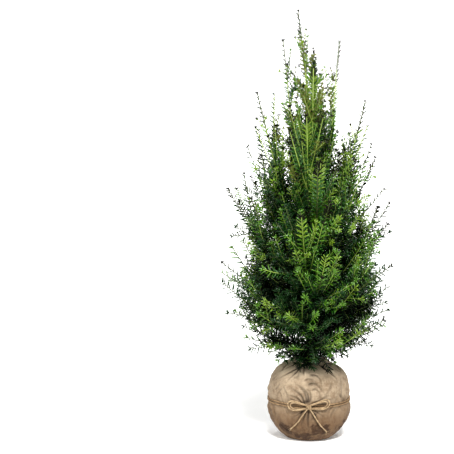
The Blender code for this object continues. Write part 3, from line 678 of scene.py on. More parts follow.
def makeBow(shape):
    turnsOut = 2 * shape["radius"] + 4 * shape["clearance"]
    front = turnsOut + shape["knot"][1]
    twine = ballShape["twine"]
    parts = []
    for side, drop, tilt in zip((-1, 1), shape["tailDrops"], shape["loopTilts"]):
        foot = shape["knot"][0] * 0.35
        for inner in (0, 1):  # each loop is a doubled strand
            knots = []
            reach = shape["loopReach"] - 0.0072 * inner
            half = shape["loopHalfHeight"] * (1 - 0.30 * inner)
            for step in range(17):
                turn = math.pi * step / 16
                across = foot + (reach - foot) * math.sin(turn) ** 0.8
                rise = half * math.cos(turn) * (0.24 + 0.86 * math.sin(turn)) + tilt * (across - foot)
                off = turnsOut + shape["radius"] * 1.25 + 0.0012 * math.sin(turn) + 0.0008 * inner
                knots.append(overBall(side * across, twine + rise, off))
            parts += twisted(smoothLine(knots, 170), shape)
        knots = []
        for step in range(13):
            share = step / 12
            across = side * (0.002 + (shape["tailSpread"] - 0.002) * share**1.15)
            across += side * 0.0012 * math.sin(7 * share)
            off = front + (shape["radius"] * 1.2 + 0.0004 - front) * eased(min(1.8 * share, 1))
            knots.append(overBall(across, twine - 0.002 - (drop - 0.002) * share * 0.95, off))
        line = smoothLine(knots, 130)
        parts += twisted(line, shape)
        parts += frayedEnd(line[-1], line[-1] - line[-4], 40 + side, shape)
    # knot: the twine wound round its own middle
    middle = np.array(overBall(0, twine, front))
    wide, deep, high = shape["winding"]
    turn = np.linspace(0, 2 * math.pi * shape["windingTurns"], 150)
    across = np.linspace(-wide, wide, 150) + shape["windingSway"] * np.cos(turn)
    wound = np.stack([across, -deep * np.cos(turn), high * np.sin(turn)], 1) + middle
    parts += twisted(wound, shape)
    turn = np.linspace(0.3, 2 * math.pi * 0.98, 70)
    crossing = np.stack([0.0056 * np.sin(turn), -0.0048 * np.abs(np.cos(turn / 2)) + 0.001,
                         0.0046 * np.cos(turn)], 1) + middle
    parts += twisted(crossing, shape)
    return meshObject("twine_bow", *joined(parts), bowFinish, 60)


def frayedEnd(end, way, seed, shape):
    rng = np.random.default_rng(seed)
    way = way / np.linalg.norm(way)
    outward = np.array([end[0], end[1], 0]) / np.hypot(end[0], end[1])
    across = np.cross(way, outward)
    parts = []
    for _ in range(shape["fibres"]):
        lean = rng.normal(0, 0.42)
        lift = rng.uniform(0.0, 0.25)
        length = rng.uniform(*shape["fibreLength"])
        heading = way + across * lean + outward * lift
        heading = heading / np.linalg.norm(heading)
        share = np.linspace(0, 1, 6)[:, None]
        line = end - way * 0.002 + across * rng.normal(0, 0.0006) + heading * length * share
        line = line + across * (lean * 0.002) * share**2
        parts.append(tube(line, np.linspace(*shape["fibreRadius"], 6), 4))
    return parts


finishPiece(makeTurn("twine_upper", ballShape["twine"] + twineShape["pitch"] / 2, twineShape, 21),
            "twine", "twine_turn_upper")
finishPiece(makeTurn("twine_lower", ballShape["twine"] - twineShape["pitch"] / 2, twineShape, 22),
            "twine", "twine_turn_lower")
finishPiece(makeBow(twineShape), "twine", "bow")
print("twine tied")

# trunk and limbs, by the same rule as the solids
trunkShape = {
    "foot": 0.2038, "top": 0.950, "radius": 0.0095, "topRadius": 0.0024,
    "flare": 0.0070, "flareHeight": 0.012, "sway": 0.003,
    "tip": Vector((-0.034, 0.0, 1.130)), "leanFrom": 0.80, "leanRise": 0.33, "leanPower": 1.4,
    "soil": 0.2035, "sides": 28, "rings": 260, "relief": 0.0006,
}
limbPlan = {
    "footStep": 0.007, "curvePull": 1.05, "samples": 22, "stride": 3,
    "boughRadius": 0.0046, "boughTipRadius": 0.0028,
    # name, foot height, degrees at the trunk, degrees at the tip, bare share, shoots, size, then the tips
    "tiers": (
        ("skirt", 0.228, 12, -16, 0.26, 7, 0.95, {
            "right": (-16, 0.170, 0.256), "back": (82, 0.162, 0.246),
            "left": (196, 0.160, 0.242), "front": (276, 0.152, 0.238)}),
        ("low", 0.258, 34, 12, 0.20, 9, 1.0, {
            "right": (20, 0.216, 0.350), "back": (102, 0.214, 0.340),
            "left": (202, 0.228, 0.345), "front": (261, 0.200, 0.335)}),
        ("broad", 0.290, 40, 40, 0.20, 9, 1.0, {
            "right": (-20, 0.224, 0.472), "back": (74, 0.226, 0.470),
            "left": (166, 0.240, 0.456), "front": (279, 0.200, 0.455)}),
        ("middle", 0.328, 52, 60, 0.22, 8, 1.0, {
            "right": (14, 0.216, 0.620), "back": (98, 0.196, 0.640),
            "left": (190, 0.218, 0.666), "front": (263, 0.176, 0.610)}),
        ("upper", 0.380, 60, 70, 0.26, 7, 0.95, {
            "right": (-24, 0.172, 0.786), "back": (76, 0.156, 0.770),
            "left": (158, 0.180, 0.770), "front": (281, 0.142, 0.745)}),
        ("high", 0.452, 64, 76, 0.28, 7, 0.86, {
            "right": (10, 0.146, 0.893), "back": (96, 0.122, 0.905),
            "left": (186, 0.140, 0.917), "front": (265, 0.108, 0.862)}),
        ("crown", 0.600, 68, 84, 0, 6, 0.74, {
            "right": (-8, 0.075, 1.052), "back": (84, 0.060, 1.030),
            "left": (168, 0.074, 1.054), "front": (278, 0.050, 0.984)}),
    ),
}
sprayShape = {
    "length": 0.118, "halfWidth": 0.0290, "ridge": 0.0014, "fold": 28, "shortening": 0.32,
    "toothPitch": 0.029, "toothCounts": (2, 4), "toothLean": 0.88, "notch": 0.32, "root": 0.13,
    "sink": 0.006, "roll": 60, "terminal": (0.86, 0.86), "topTerminal": (0.72, 0.52),
    "sizes": (1.0, 0.85, 0.72, 0.60), "tried": 8, "freeReach": 0.06,
    "stemSteps": 4, "tipShoots": (5, 0.56), "span": (0.04, 0.92),
    "twigLength": 0.050, "twigRadius": 0.0017, "twigTip": 0.0012, "twigRise": 0.30, "twigShare": 0.50,
    "angles": (36, 54, 74), "turns": 12,
}
spaceShape = {
    "reach": 0.240, "heights": (0.190, 0.430, 1.175), "below": (2.0, 0.60), "above": (1.6, 0.75),
    "margin": 0.0024, "woodMargin": 0.0030, "collar": (0.056, 0.2165), "shoulder": (0.118, 0.2090),
    "highFrom": 0.22, "highRise": 0.80,
    # share of the reach that is full of needles: least, most, its fall with the height, and where it starts
    "dense": (0.54, 0.90), "denseFall": 0.72, "denseFrom": 0.36, "leastReach": 0.03,
}


def aimed(azimuth, elevation):
    level = math.cos(elevation)
    return Vector((math.cos(azimuth) * level, math.sin(azimuth) * level, math.sin(elevation)))


def trunkPoint(height, shape=trunkShape):
    share = (height - shape["soil"]) / (shape["leanFrom"] - shape["soil"])
    sway = shape["sway"] * math.sin(math.pi * min(share, 1.0))
    lean = max(height - shape["leanFrom"], 0) / (shape["tip"].z - shape["leanFrom"])
    return Vector((sway + shape["tip"].x * lean ** shape["leanPower"], -sway, height))


def leanAt(heights, shape=trunkShape):  # of the crown's middle line
    return shape["tip"].x * np.clip((heights - shape["leanFrom"]) / shape["leanRise"], 0, 1)


def trunkRadius(height, shape=trunkShape):
    share = (height - shape["foot"]) / (shape["top"] - shape["foot"])
    taper = shape["radius"] + (shape["topRadius"] - shape["radius"]) * share
    return taper + shape["flare"] * math.exp(-(height - shape["foot"]) / shape["flareHeight"])


def limbLine(foot, tip, leaving, climbing, plan):
    pull = (tip - foot).length * plan["curvePull"]
    points = []
    for step in range(plan["samples"]):
        t = step / (plan["samples"] - 1)
        fromFoot = foot * (2 * t**3 - 3 * t**2 + 1) + leaving * (pull * (t**3 - 2 * t**2 + t))
        toTip = tip * (3 * t**2 - 2 * t**3) + climbing * (pull * (t**3 - t**2))
        points.append(fromFoot + toTip)
    return points


def planLimbs(plan):
    limbs = []
    for tier, footZ, leaveDeg, liftDeg, bare, shoots, size, tips in plan["tiers"]:
        for number, (side, (turn, reach, height)) in enumerate(tips.items()):
            azimuth = math.radians(turn)
            tip = aimed(azimuth, 0) * reach + up * height
            foot = trunkPoint(footZ + number * plan["footStep"] * (3 if bare == 0 else 1))
            leaving, climbing = [aimed(azimuth, math.radians(degrees)) for degrees in (leaveDeg, liftDeg)]
            line = limbLine(foot, tip, leaving, climbing, plan)
            limbs.append({"tier": tier, "side": side, "line": line, "bare": bare, "shoots": (shoots, size)})
    top = trunkShape["top"]
    rise = trunkShape["tip"].z - top
    line = [trunkPoint(top + rise * step / (plan["samples"] - 1)) for step in range(plan["samples"])]
    limbs.append({"tier": "tip", "side": "", "line": line, "bare": 0.0, "shoots": sprayShape["tipShoots"]})
    return limbs


def along(line, share):
    place = min(max(share, 0.0), 1.0) * (len(line) - 1)
    index = min(int(place), len(line) - 2)
    step = line[index + 1] - line[index]
    return line[index] + step * (place - index), step.normalized()


def lineLength(line):
    return sum((after - before).length for before, after in zip(line, line[1:]))


def pieces(points):
    rows = asRows(points)
    return rows[:-1], rows[1:] - rows[:-1]


def distances(points, starts, steps):
    offset = points[:, None, :] - starts[None]
    share = np.clip((offset * steps[None]).sum(-1) / (steps * steps).sum(-1)[None], 0, 1)
    gap = offset - steps[None] * share[..., None]
    return np.sqrt((gap * gap).sum(-1))


def crownReach(heights, shape=spaceShape):
    foot, widest, top = shape["heights"]
    below = np.clip((widest - heights) / (widest - foot), 0, 1)
    above = np.clip((heights - widest) / (top - widest), 0, 1)
    lower = (1 - below ** shape["below"][0]) ** shape["below"][1]
    upper = (1 - above ** shape["above"][0]) ** shape["above"][1]
    return shape["reach"] * np.where(heights < widest, lower, upper)


def planSpace(limbs):
    lines = [pieces(limb["line"][::limbPlan["stride"]]) for limb in limbs]
    bare = []
    for limb in limbs:
        places = [along(limb["line"], limb["bare"] * 0.96 * step / 5)[0] for step in range(6)]
        bare.append(pieces(places) if limb["bare"] else None)
    soil, top = trunkShape["soil"], trunkShape["top"]
    heights = [soil + (top - 0.006 - soil) * step / 16 for step in range(17)]
    return {
        "starts": np.concatenate([starts for starts, _ in lines]),
        "steps": np.concatenate([steps for _, steps in lines]),
        "bare": bare,
        "trunk": pieces([trunkPoint(height) for height in heights]),
    }


def insideSpace(points, index, space, shape=spaceShape):
    gaps = distances(points, space["starts"], space["steps"])
    gaps = gaps.reshape(len(points), -1, (limbPlan["samples"] - 1) // limbPlan["stride"]).min(-1)
    own = gaps[:, index]
    others = np.delete(gaps, index, axis=1).min(1)
    wood = limbPlan["boughRadius"] + shape["woodMargin"]
    inside = (others > own + shape["margin"]) & (others > wood)
    if space["bare"][index]:
        own = distances(points, *space["bare"][index]).min(1)
        inside &= own > limbPlan["boughRadius"] + shape["woodMargin"] / 2
    heights = points[:, 2]
    soil, top = trunkShape["soil"], trunkShape["top"]
    share = np.clip((heights - soil) / (top - soil), 0, 1)
    trunk = trunkShape["radius"] + (trunkShape["topRadius"] - trunkShape["radius"]) * share
    inside &= distances(points, *space["trunk"]).min(1) > trunk + shape["woodMargin"]
    reach = np.hypot(points[:, 0] - leanAt(heights), points[:, 1])
    inside &= reach < crownReach(heights)
    inside &= (reach > shape["collar"][0]) | (heights > shape["collar"][1])
    return inside & ((reach > shape["shoulder"][0]) | (heights > shape["shoulder"][1]))


# sprays, where the solids have their blades
def toothCount(length, shape=sprayShape):
    return min(max(round(length / shape["toothPitch"]), shape["toothCounts"][0]), shape["toothCounts"][1])


def bladeRim(length, halfWidth, shape=sprayShape):
    fold = math.radians(shape["fold"])
    teeth = toothCount(length)
    pitch = 0.93 * length / teeth
    right = [(0.0, halfWidth * shape["root"], 0.0)]
    for tooth in range(teeth):
        share = tooth / teeth
        width = halfWidth * (0.78 + 0.22 * math.sin(math.pi * share)) * (1 - 0.42 * share**2)
        notch = halfWidth * shape["notch"] * (1 - 0.3 * share)
        for place, reach in ((tooth * pitch, notch), ((tooth + shape["toothLean"]) * pitch, width)):
            if place:
                right.append((place, reach * math.cos(fold), reach * math.sin(fold)))
    left = [(a, -b, lift) for a, b, lift in reversed(right)]
    return np.array(right + [(length, 0.0, 0.0)] + left)


def treeOf(corners, faces):
    mesh = bmesh.new()
    made = [mesh.verts.new(corner) for corner in corners]
    for face in faces:
        mesh.faces.new([made[number] for number in face])
    tree = BVHTree.FromBMesh(mesh)
    mesh.free()
    return tree


def bladeTree(root, heading, normal, length, halfWidth):  # tells whether two blades cross
    across = heading.cross(normal)
    corners = [root + heading * a + across * b + normal * c for a, b, c in bladeRim(length, halfWidth)]
    teeth, count = toothCount(length), len(corners)
    shares = {2: (1.0,), 3: (1.0, 2.3), 4: (1.0, 3.0)}[teeth]
    spines = [root + heading * (0.93 * length * share / teeth) for share in shares]
    faces = []
    for side in (1, -1):
        first = len(corners)
        corners += [point + normal * (side * sprayShape["ridge"]) for point in spines]
        places = [edge if edge < count // 2 else count - 2 - edge for edge in range(count)]
        served = [first + min(max(place // 4, 0), len(spines) - 1) for place in places]
        for edge in range(count):
            after = (edge + 1) % count
            faces.append((served[edge], edge, after)[::-side])
            if served[after] != served[edge]:
                faces.append((served[edge], after, served[after])[::-side])
    return treeOf(corners, faces)


def twigTree(start, end):
    way = (end - start).normalized()
    side = way.orthogonal().normalized()
    side = (side - way * side.dot(way)).normalized()
    normal = way.cross(side)
    corners = []
    for point, radius in ((start, sprayShape["twigRadius"]), (end, sprayShape["twigTip"])):
        for turn in (2 * math.pi * step / 3 for step in range(3)):
            corners.append(point + (side * math.cos(turn) + normal * math.sin(turn)) * radius)
    sides = [(step, (step + 1) % 3, (step + 1) % 3 + 3, step + 3) for step in range(3)]
    return treeOf(corners, sides + [(2, 1, 0), (3, 4, 5)])


def facing(heading, place, roll):
    outward = Vector((place.x, place.y, 0)) + Vector((0, -0.002, 0))
    wished = outward.normalized() * 0.7 + up * 0.75
    normal = wished - heading * wished.dot(heading)
    return Matrix.Rotation(math.radians(roll), 3, heading) @ normal.normalized()


def sideHeading(tangent, turn, angle):
    across = tangent.cross(up)
    across = across.normalized() if across.length > 0.2 else tangent.orthogonal().normalized()
    side = Matrix.Rotation(math.radians(turn), 3, tangent) @ across
    return tangent * math.cos(math.radians(angle)) + side * math.sin(math.radians(angle))


def shootChoices(place, tangent, twigLength, phase, roll, shape=sprayShape):
    choices = []
    sink = shape["sink"] if twigLength else shape["sink"] / 2
    for angle in shape["angles"]:
        for step in range(shape["turns"]):
            heading = sideHeading(tangent, phase + 360 * step / shape["turns"], angle)
            end = place + heading * twigLength
            way = (heading + up * shape["twigRise"]).normalized() if twigLength else heading
            choices.append((end - way * sink, way, facing(way, end, roll)))
    return choices


def freestSpray(choices, size, index, space, taken, shape=sprayShape):
    roots, ways, normals = (asRows(part) for part in zip(*choices))
    crosses = np.cross(ways, normals)
    for scale in shape["sizes"]:
        length = shape["length"] * size * scale
        halfWidth = shape["halfWidth"] * (0.45 + 0.55 * min(size * scale, 1.0))
        rim = bladeRim(length, halfWidth)
        local = np.concatenate([rim[1::2], [(length, 0, 0), (length / 2, 0, 0)]])
        world = roots[:, None] + (
            ways[:, None] * local[None, :, 0:1]
            + crosses[:, None] * local[None, :, 1:2]
            + normals[:, None] * local[None, :, 2:3]
        )
        fits = insideSpace(world.reshape(-1, 3), index, space).reshape(len(choices), -1).all(1)
        middles = roots + ways * (length * 0.6)
        gaps = np.linalg.norm(middles[:, None] - np.array(taken["middles"])[None], axis=2).min(1)
        free = 0.25 + np.minimum(gaps / shape["freeReach"], 1)
        scores = np.where(fits, free * (1.2 + 0.3 * ways[:, 2]), 0)
        for pick in np.argsort(-scores, kind="stable")[: shape["tried"]]:
            if scores[pick] <= 0:
                break
            root, way, normal = choices[pick]
            tree = bladeTree(root, way, normal, length, halfWidth)
            if not any(tree.overlap(other) for other in taken["trees"]):
                taken["middles"].append(tuple(root + way * (length * 0.6)))
                taken["trees"].append(tree)
                return {"root": root, "way": way, "normal": normal, "length": length, "halfWidth": halfWidth}
    return None


def growLimb(limb, index, space, shape=sprayShape):
    rng = random.Random(100 + index)
    line, bare, tip = limb["line"], limb["bare"], limb["line"][-1]
    lengthShare, widthShare = shape["terminal"] if bare else shape["topTerminal"]
    stemEnd = 1 - (shape["length"] * lengthShare - 2 * shape["sink"]) / lineLength(line)
    steps = shape["stemSteps"]
    places = [along(line, bare + (stemEnd - bare) * step / steps) for step in range(steps + 1)]
    points = [point for point, _ in places]
    lifted = 0.0003 if bare or limb["tier"] == "tip" else 0
    points[0] = points[0] + places[0][1] * lifted

    root = points[-1] - places[-1][1] * (2 * shape["sink"])
    way = (tip - root).normalized()
    normal = facing(way, root, rng.uniform(-shape["roll"], shape["roll"]))
    length = (tip - root).length
    tree = bladeTree(root, way, normal, length, shape["halfWidth"] * widthShare)
    taken = {"middles": [tuple(root.lerp(tip, 0.6))], "trees": [tree]}
    sprays, twigs = [{"root": root, "way": way, "length": length}], []  # the first ends the limb
    count, fullSize = limb["shoots"]
    for number in range(count):
        stemShare = shape["span"][0] + (shape["span"][1] - shape["span"][0]) * number / (count - 1)
        place, tangent = along(points, stemShare)
        size = fullSize * (1 - shape["shortening"] * stemShare) * rng.uniform(0.92, 1.08)
        phase, roll = rng.uniform(0, 360), rng.uniform(-shape["roll"], shape["roll"])
        onTwig = stemShare < shape["twigShare"] and number % 2 == 0
        twigLength = shape["twigLength"] * (1 - stemShare) if onTwig else 0.0
        grown = freestSpray(shootChoices(place, tangent, twigLength, phase, roll), size, index, space, taken)
        if grown is None:
            continue
        sprays.append(grown)
        if onTwig:
            end = grown["root"] + grown["way"] * shape["sink"]
            twigs.append((place, end))
            choices = shootChoices(place.lerp(end, 0.45), (end - place).normalized(), 0.0, phase, -roll)
            second = freestSpray(choices, size * 0.85, index, space, taken)
            if second:
                sprays.append(second)
            taken["trees"].append(twigTree(place, end))
    return {"stem": points, "sprays": sprays, "twigs": twigs, "middles": taken["middles"]}


limbs = planLimbs(limbPlan)
space = planSpace(limbs)
grownLimbs = [growLimb(limb, index, space) for index, limb in enumerate(limbs)]
print("limbs grown:", len(limbs), "with", sum(len(grown["sprays"]) for grown in grownLimbs), "sprays")

# shoots: a line with needles along both sides; pairs are for the crown's foot and its top
combShape = {
    "pitch": (0.0041, 0.0028), "needle": (0.0258, 0.0152), "width": (0.0033, 0.0034), "thickness": 0.0012,
    "angle": (60, 52), "tipAngle": (46, 42), "nearTip": 0.030,  # between needle and shoot
    "rows": (24, 31),  # the rows' tilt from a flat comb: side shoots, upright ones
    "tiltSpread": 7, "angleSpread": 4, "faceSpread": 0.22,
    "shortTip": 0.032, "shortFoot": 0.012,  # the needles are shorter this near to the ends
    "lightEnd": 0.30,  # share of a light shoot that is a tone lighter still
    "thin": (0.90, 0.0112),  # needles on the thin dark ends: share of their length, and the least length
    "buds": 6, "budAngle": (24, 70), "budLength": (0.50, 0.66),
    "stem": (0.0011, 0.0008), "outThick": 1.25,  # radius at foot and end, thicker outside the full crown
    "outFrom": 1.02, "longFrom": 0.13, "lightStem": (0.62, 0.88),
    "spacing": (0.35, 0.65), "lengthSpread": (0.9, 1.08), "widthSpread": (0.88, 1.1),
    "taper": (0.74, 0.24), "footShare": 0.6,  # length at the end, less higher up, and at the foot
    "widthByLength": (0.7, 0.3), "bend": (0.04, 0.06), "faceLean": (0.35, 0.7),
}
# lighter further out and higher up, partly young growth and partly painted light; darker inside and at the
# crown's foot as painted shade, and darker beyond the full crown at the sides
lightShape = {  # how light a spray is, by its reach, its height and chance
    "reach": 0.60, "aside": 2.4, "asideFrom": 0.98, "asideMost": 0.3, "height": 0.30, "heightFull": 0.55,
    "chance": (-0.36, 0.30), "low": 0.06, "lowFrom": 0.46, "lowRise": 0.12,
    "limits": (1.06, 0.80, 0.50, 0.25),
}
goldenTurn = 2.39996
tierNames = [tier[0] for tier in limbPlan["tiers"]]
needles = {"base": [], "way": [], "face": [], "length": [], "width": [], "bend": [], "tone": []}
twigTubes = [[] for _ in twigTones]
draw = np.random.default_rng(2024)


def highShare(height, shape=spaceShape):  # 0 at the crown's foot, 1 at its top
    return np.clip((np.asarray(height) - shape["highFrom"]) / shape["highRise"], 0, 1)


def between(pair, share):
    return pair[0] + (pair[1] - pair[0]) * share


def denseReach(heights, shape=spaceShape):  # the crown is full only this far out
    share = shape["dense"][1] - shape["denseFall"] * (heights - shape["denseFrom"])
    return np.maximum(np.clip(share, *shape["dense"]) * crownReach(heights), shape["leastReach"])


def insideBox(points, margin):
    low, high = np.array(cadBox[0]) - margin, np.array(cadBox[1]) + margin
    return ((points > low) & (points < high)).all(-1)


# a spray's tone from its place: painted light out and up, painted shade inside and low
def toneFor(place, shift=0.0, light=lightShape):
    outward = np.hypot(place[0], place[1]) / float(denseReach(np.array(place[2])))
    aside = abs(place[0]) / max(math.hypot(place[0], place[1]), 0.01)
    beyond = min(max(outward - light["asideFrom"], 0), light["asideMost"])
    level = light["reach"] * min(outward, 1.0) ** 2.0 - light["aside"] * beyond * aside**2
    level += light["height"] * min(highShare(place[2]) / light["heightFull"], 1)
    below = min(max((light["lowFrom"] - place[2]) / light["lowRise"], 0), 1)
    level += draw.uniform(*light["chance"]) + shift - light["low"] * below
    return next((tone for tone, limit in enumerate(light["limits"], 1) if level > limit), shadeTone)


def addNeedles(base, way, face, length, full, tone, shape=combShape):
    total = len(length)
    face = unit(face - way * (face * way).sum(1, keepdims=True))
    width = between(shape["width"], highShare(base[:, 2])) * draw.uniform(*shape["widthSpread"], total)
    least, rest = shape["widthByLength"]
    rows = {
        "base": base, "way": way, "face": face, "length": length, "tone": tone,
        "width": width * (least + rest * length / full), "bend": draw.normal(*shape["bend"], total),
    }
    for key, values in rows.items():
        needles[key].append(values)


def atLengths(values, distance, reach):
    return np.stack([np.interp(reach, distance, values[:, axis]) for axis in range(3)], 1)


def fanned(heading, across, over, turn, angle):
    aside = across * np.cos(turn)[:, None] + over * np.sin(turn)[:, None]
    return heading * np.cos(angle)[:, None] + aside * np.sin(angle)[:, None]


def layShoot(line, normal, tone, size=1.0, bare=0.05, upright=False, stem=1.0, budTone=None, thinFrom=None,
             shape=combShape):
    line = asRows(line)
    distance = pathLengths(line)
    length = distance[-1]
    headings = unit(np.gradient(line, axis=0))
    middleHigh = highShare(line[len(line) // 2, 2])
    count = max(int(length * (1 - bare) / between(shape["pitch"], middleHigh)), 4)
    number = np.arange(count)
    share = bare + (1 - bare) * (number + draw.uniform(*shape["spacing"], count)) / count
    reach = share * length
    base, heading = atLengths(line, distance, reach), unit(atLengths(headings, distance, reach))
    high = highShare(base[:, 2])
    left = length - reach  # to the shoot's end
    across = unit(np.cross(heading, np.asarray(normal, float)))
    over = np.cross(across, heading)
    tilt = np.radians(shape["rows"][1 if upright else 0] + draw.normal(0, shape["tiltSpread"], count))
    tilt = np.where(number % 4 < 2, tilt, -tilt)
    turn = np.where(number % 2 == 0, tilt, math.pi - tilt)
    angle, nearEnd = between(shape["angle"], high), 1 - np.clip(left / shape["nearTip"], 0, 1)
    angle = angle + (between(shape["tipAngle"], high) - angle) * nearEnd
    way = fanned(heading, across, over, turn, np.radians(angle + draw.normal(0, shape["angleSpread"], count)))
    full = between(shape["needle"], high) * size
    taper = shape["taper"][0] - shape["taper"][1] * middleHigh
    lengths = full * between((taper, 1), np.clip(left / shape["shortTip"], 0, 1))
    lengths = lengths * between((shape["footShare"], 1), np.clip(reach / shape["shortFoot"], 0, 1))
    lengths = lengths * draw.uniform(*shape["lengthSpread"], count)
    face = over + heading * shape["faceLean"][1 if upright else 0]
    face = face + across * draw.normal(0, shape["faceSpread"], count)[:, None]
    endTone = max(tone - 1, brightTone) if tone < deepTone else tone
    tones = np.where(left < shape["lightEnd"] * length, endTone, tone)
    if thinFrom is not None:
        tones = np.where(share > thinFrom, tipTone, tones)
        thin = np.maximum(lengths * shape["thin"][0], shape["thin"][1])
        lengths = np.where(share > thinFrom, thin, lengths)
    addNeedles(base, way, face, lengths, full, tones)

    buds = shape["buds"]  # needles round the bud
    turn = np.arange(buds) * goldenTurn + draw.uniform(0, 6.3)
    angle = np.radians(draw.uniform(*shape["budAngle"], buds))
    lengths = full[-1] * draw.uniform(*shape["budLength"], buds)
    addNeedles(np.tile(line[-1], (buds, 1)), fanned(headings[-1], across[-1], over[-1], turn, angle),
               np.tile(headings[-1], (buds, 1)), lengths, np.full(buds, full[-1]),
               np.full(buds, tones[-1] if budTone is None else budTone))
    if not stem:
        return
    long = length >= shape["longFrom"]
    steps = np.linspace(0, length, 14 if long else 4)
    out = math.hypot(line[-1, 0], line[-1, 1]) > shape["outFrom"] * float(denseReach(line[-1, 2]))
    thick = shape["outThick"] if out else 1.0
    radii = np.linspace(shape["stem"][0] * stem * thick, shape["stem"][1] * thick, len(steps))
    light = tone <= leafTone and not out or shape["lightStem"][0] < middleHigh < shape["lightStem"][1]
    twigTubes[greenTwig if light else oliveTwig].append(
        tube(atLengths(line, distance, steps), radii, 6 if long else 3))


def bowed(root, way, length, lift, steps=6):
    share = np.linspace(0, 1, steps)[:, None]
    return root + way * (length * share) + lift * (length * share**2)


def rising(way, amount):  # a pull upwards, square to the shoot
    pull = np.array([0, 0, amount])
    return pull - way * pull.dot(way)


def eitherSide(low, high):
    return draw.uniform(low, high) * draw.choice((-1, 1))


def rolled(way, place, roll):  # a shoot's normal, turned a little by chance
    return facing(Vector(way), Vector(place), draw.uniform(-roll, roll))


# side shoots, where each solid blade has its teeth
sprayCombs = {
    "rise": 0.10, "lighter": 0.05, "topFrom": 0.60, "uprightFrom": 0.45,
    "pitch": 0.052, "fewerAbove": 0.4, "span": (0.10, 0.62), "angle": (36, 48), "out": (-0.05, 0.3),
    "shortest": 0.018, "lean": 0.3, "sameTone": 0.7, "size": 0.9, "stem": 0.8,
}


def growSpray(spray, plan=sprayCombs):
    root, way, normal = (np.array(spray[key], float) for key in ("root", "way", "normal"))
    length, half = spray["length"], spray["halfWidth"]
    across, lift = np.cross(way, normal), rising(way, plan["rise"])
    middle = root + way * length * 0.6
    high = float(highShare(middle[2]))
    tone = toneFor(root + way * length, plan["lighter"])
    top = high > plan["topFrom"]
    if top:
        tone = draw.choice((freshTone, leafTone, deepTone, oliveTone))
    layShoot(bowed(root, way, length - 0.006, lift), normal, tone, upright=high > plan["uprightFrom"],
             budTone=tipTone if top else None)
    shoots = max(round(length / plan["pitch"] * (1 - plan["fewerAbove"] * high)), 1)
    for number in range(shoots):
        share = plan["span"][0] + plan["span"][1] * (number + draw.uniform(0.25, 0.75)) / shoots
        angle = math.radians(draw.uniform(*plan["angle"]))
        side = math.copysign(math.sin(angle), 0.5 - number % 2)
        heading = way * math.cos(angle) + across * side + normal * draw.uniform(*plan["out"])
        heading = heading / np.linalg.norm(heading)
        foot = root + way * (length * share) + lift * (length * share**2)
        reach = min(half * 1.02 / math.sin(angle), length * (1 - share))
        if reach < plan["shortest"]:
            continue
        lean = unit(normal + across * draw.uniform(-plan["lean"], plan["lean"]))
        sideTone = tone if draw.random() < plan["sameTone"] else max(tone - 1, brightTone)
        layShoot(bowed(foot, heading, reach, lift), lean, sideTone, size=plan["size"], stem=plan["stem"],
                 upright=top)


leaderPlan = {
    "foot": 0.05, "lowFoot": 0.12, "frontRoll": 20, "roll": (35, 60),
    "thinFrom": {"front": 0.92, "tip": 0.62, "top": 0.74, "rest": 0.84},
    "frontSize": 1.08, "size": 0.95, "stemEnd": 0.0012, "crownStem": 0.0018,
    "ends": {True: (0.0016, 0.0015, 0.0013), False: (0.0012, 0.0011, 0.0010)},  # at the top, and elsewhere
    "twig": (0.0017, 0.0015, 0.0012),
}


def growLeader(limb, grown, plan=leaderPlan):  # the limb's own shoot, to its tip
    tier = limb["tier"]
    low, top = tier in tierNames[:3], tier in ("high", "crown", "tip")
    front = limb["side"] == "front" and tier in tierNames[3:]
    foot = limb["bare"] + (1 - limb["bare"]) * plan["lowFoot" if low else "foot"]
    line = [along(limb["line"], foot + (1 - foot) * step / 24)[0] for step in range(25)]
    roll = draw.uniform(-plan["frontRoll"], plan["frontRoll"]) if front else eitherSide(*plan["roll"])
    outward = facing((line[-1] - line[0]).normalized(), line[12], roll)
    kind = "front" if front else "tip" if tier == "tip" else "top" if top else "rest"
    thinFrom = None if tier in ("skirt", "low") else plan["thinFrom"][kind]
    if front:
        tone = freshTone
    elif tier == "tip":
        tone = oliveTone
    else:
        tone = deepTone if low else int(draw.integers(freshTone, deepTone)) + (not top)
    layShoot(line, outward, tone, size=plan["frontSize" if front else "size"], bare=0.02, upright=not low,
             stem=0, budTone=None if low else tipTone, thinFrom=thinFrom)
    stem = smoothLine(asRows(grown["stem"]), 18)
    thick = {"crown": plan["crownStem"], "tip": trunkShape["topRadius"]}.get(tier, limbPlan["boughTipRadius"])
    radii = np.linspace(thick, plan["stemEnd"], 18)
    twigTubes[greenTwig if tier == "tip" else brownTwig].append(tube(stem[:8], radii[:8], 8))
    twigTubes[oliveTwig if low else greenTwig].append(tube(stem[7:], radii[7:], 7))
    ends = [(grown["stem"][-1], line[-1], greenTwig if front else oliveTwig, plan["ends"][top])]
    ends += [(start, end, oliveTwig, plan["twig"]) for start, end in grown["twigs"]]
    for start, end, tone, radii in ends:
        twigTubes[tone].append(tube(asRows((start, start.lerp(end, 0.5), end)), radii, 5))


longPlan = {
    # straight shoots on each limb: count, lengths, degrees from the limb, gap
    "side": (6, (0.125, 0.205), (10, 30), 0.026),
    "crown": (7, (0.050, 0.095), (34, 54), 0.020),
    "tip": (5, (0.030, 0.056), (34, 52), 0.016),
    "tried": 200, "footTo": 0.75, "climb": 0.20, "topClimb": 0.05, "rise": 0.12, "roll": (15, 60),
    "lighter": 0.10, "thinShare": 0.7, "thinFrom": 0.74, "highFrom": 0.42, "boxMargin": 0.002,
}


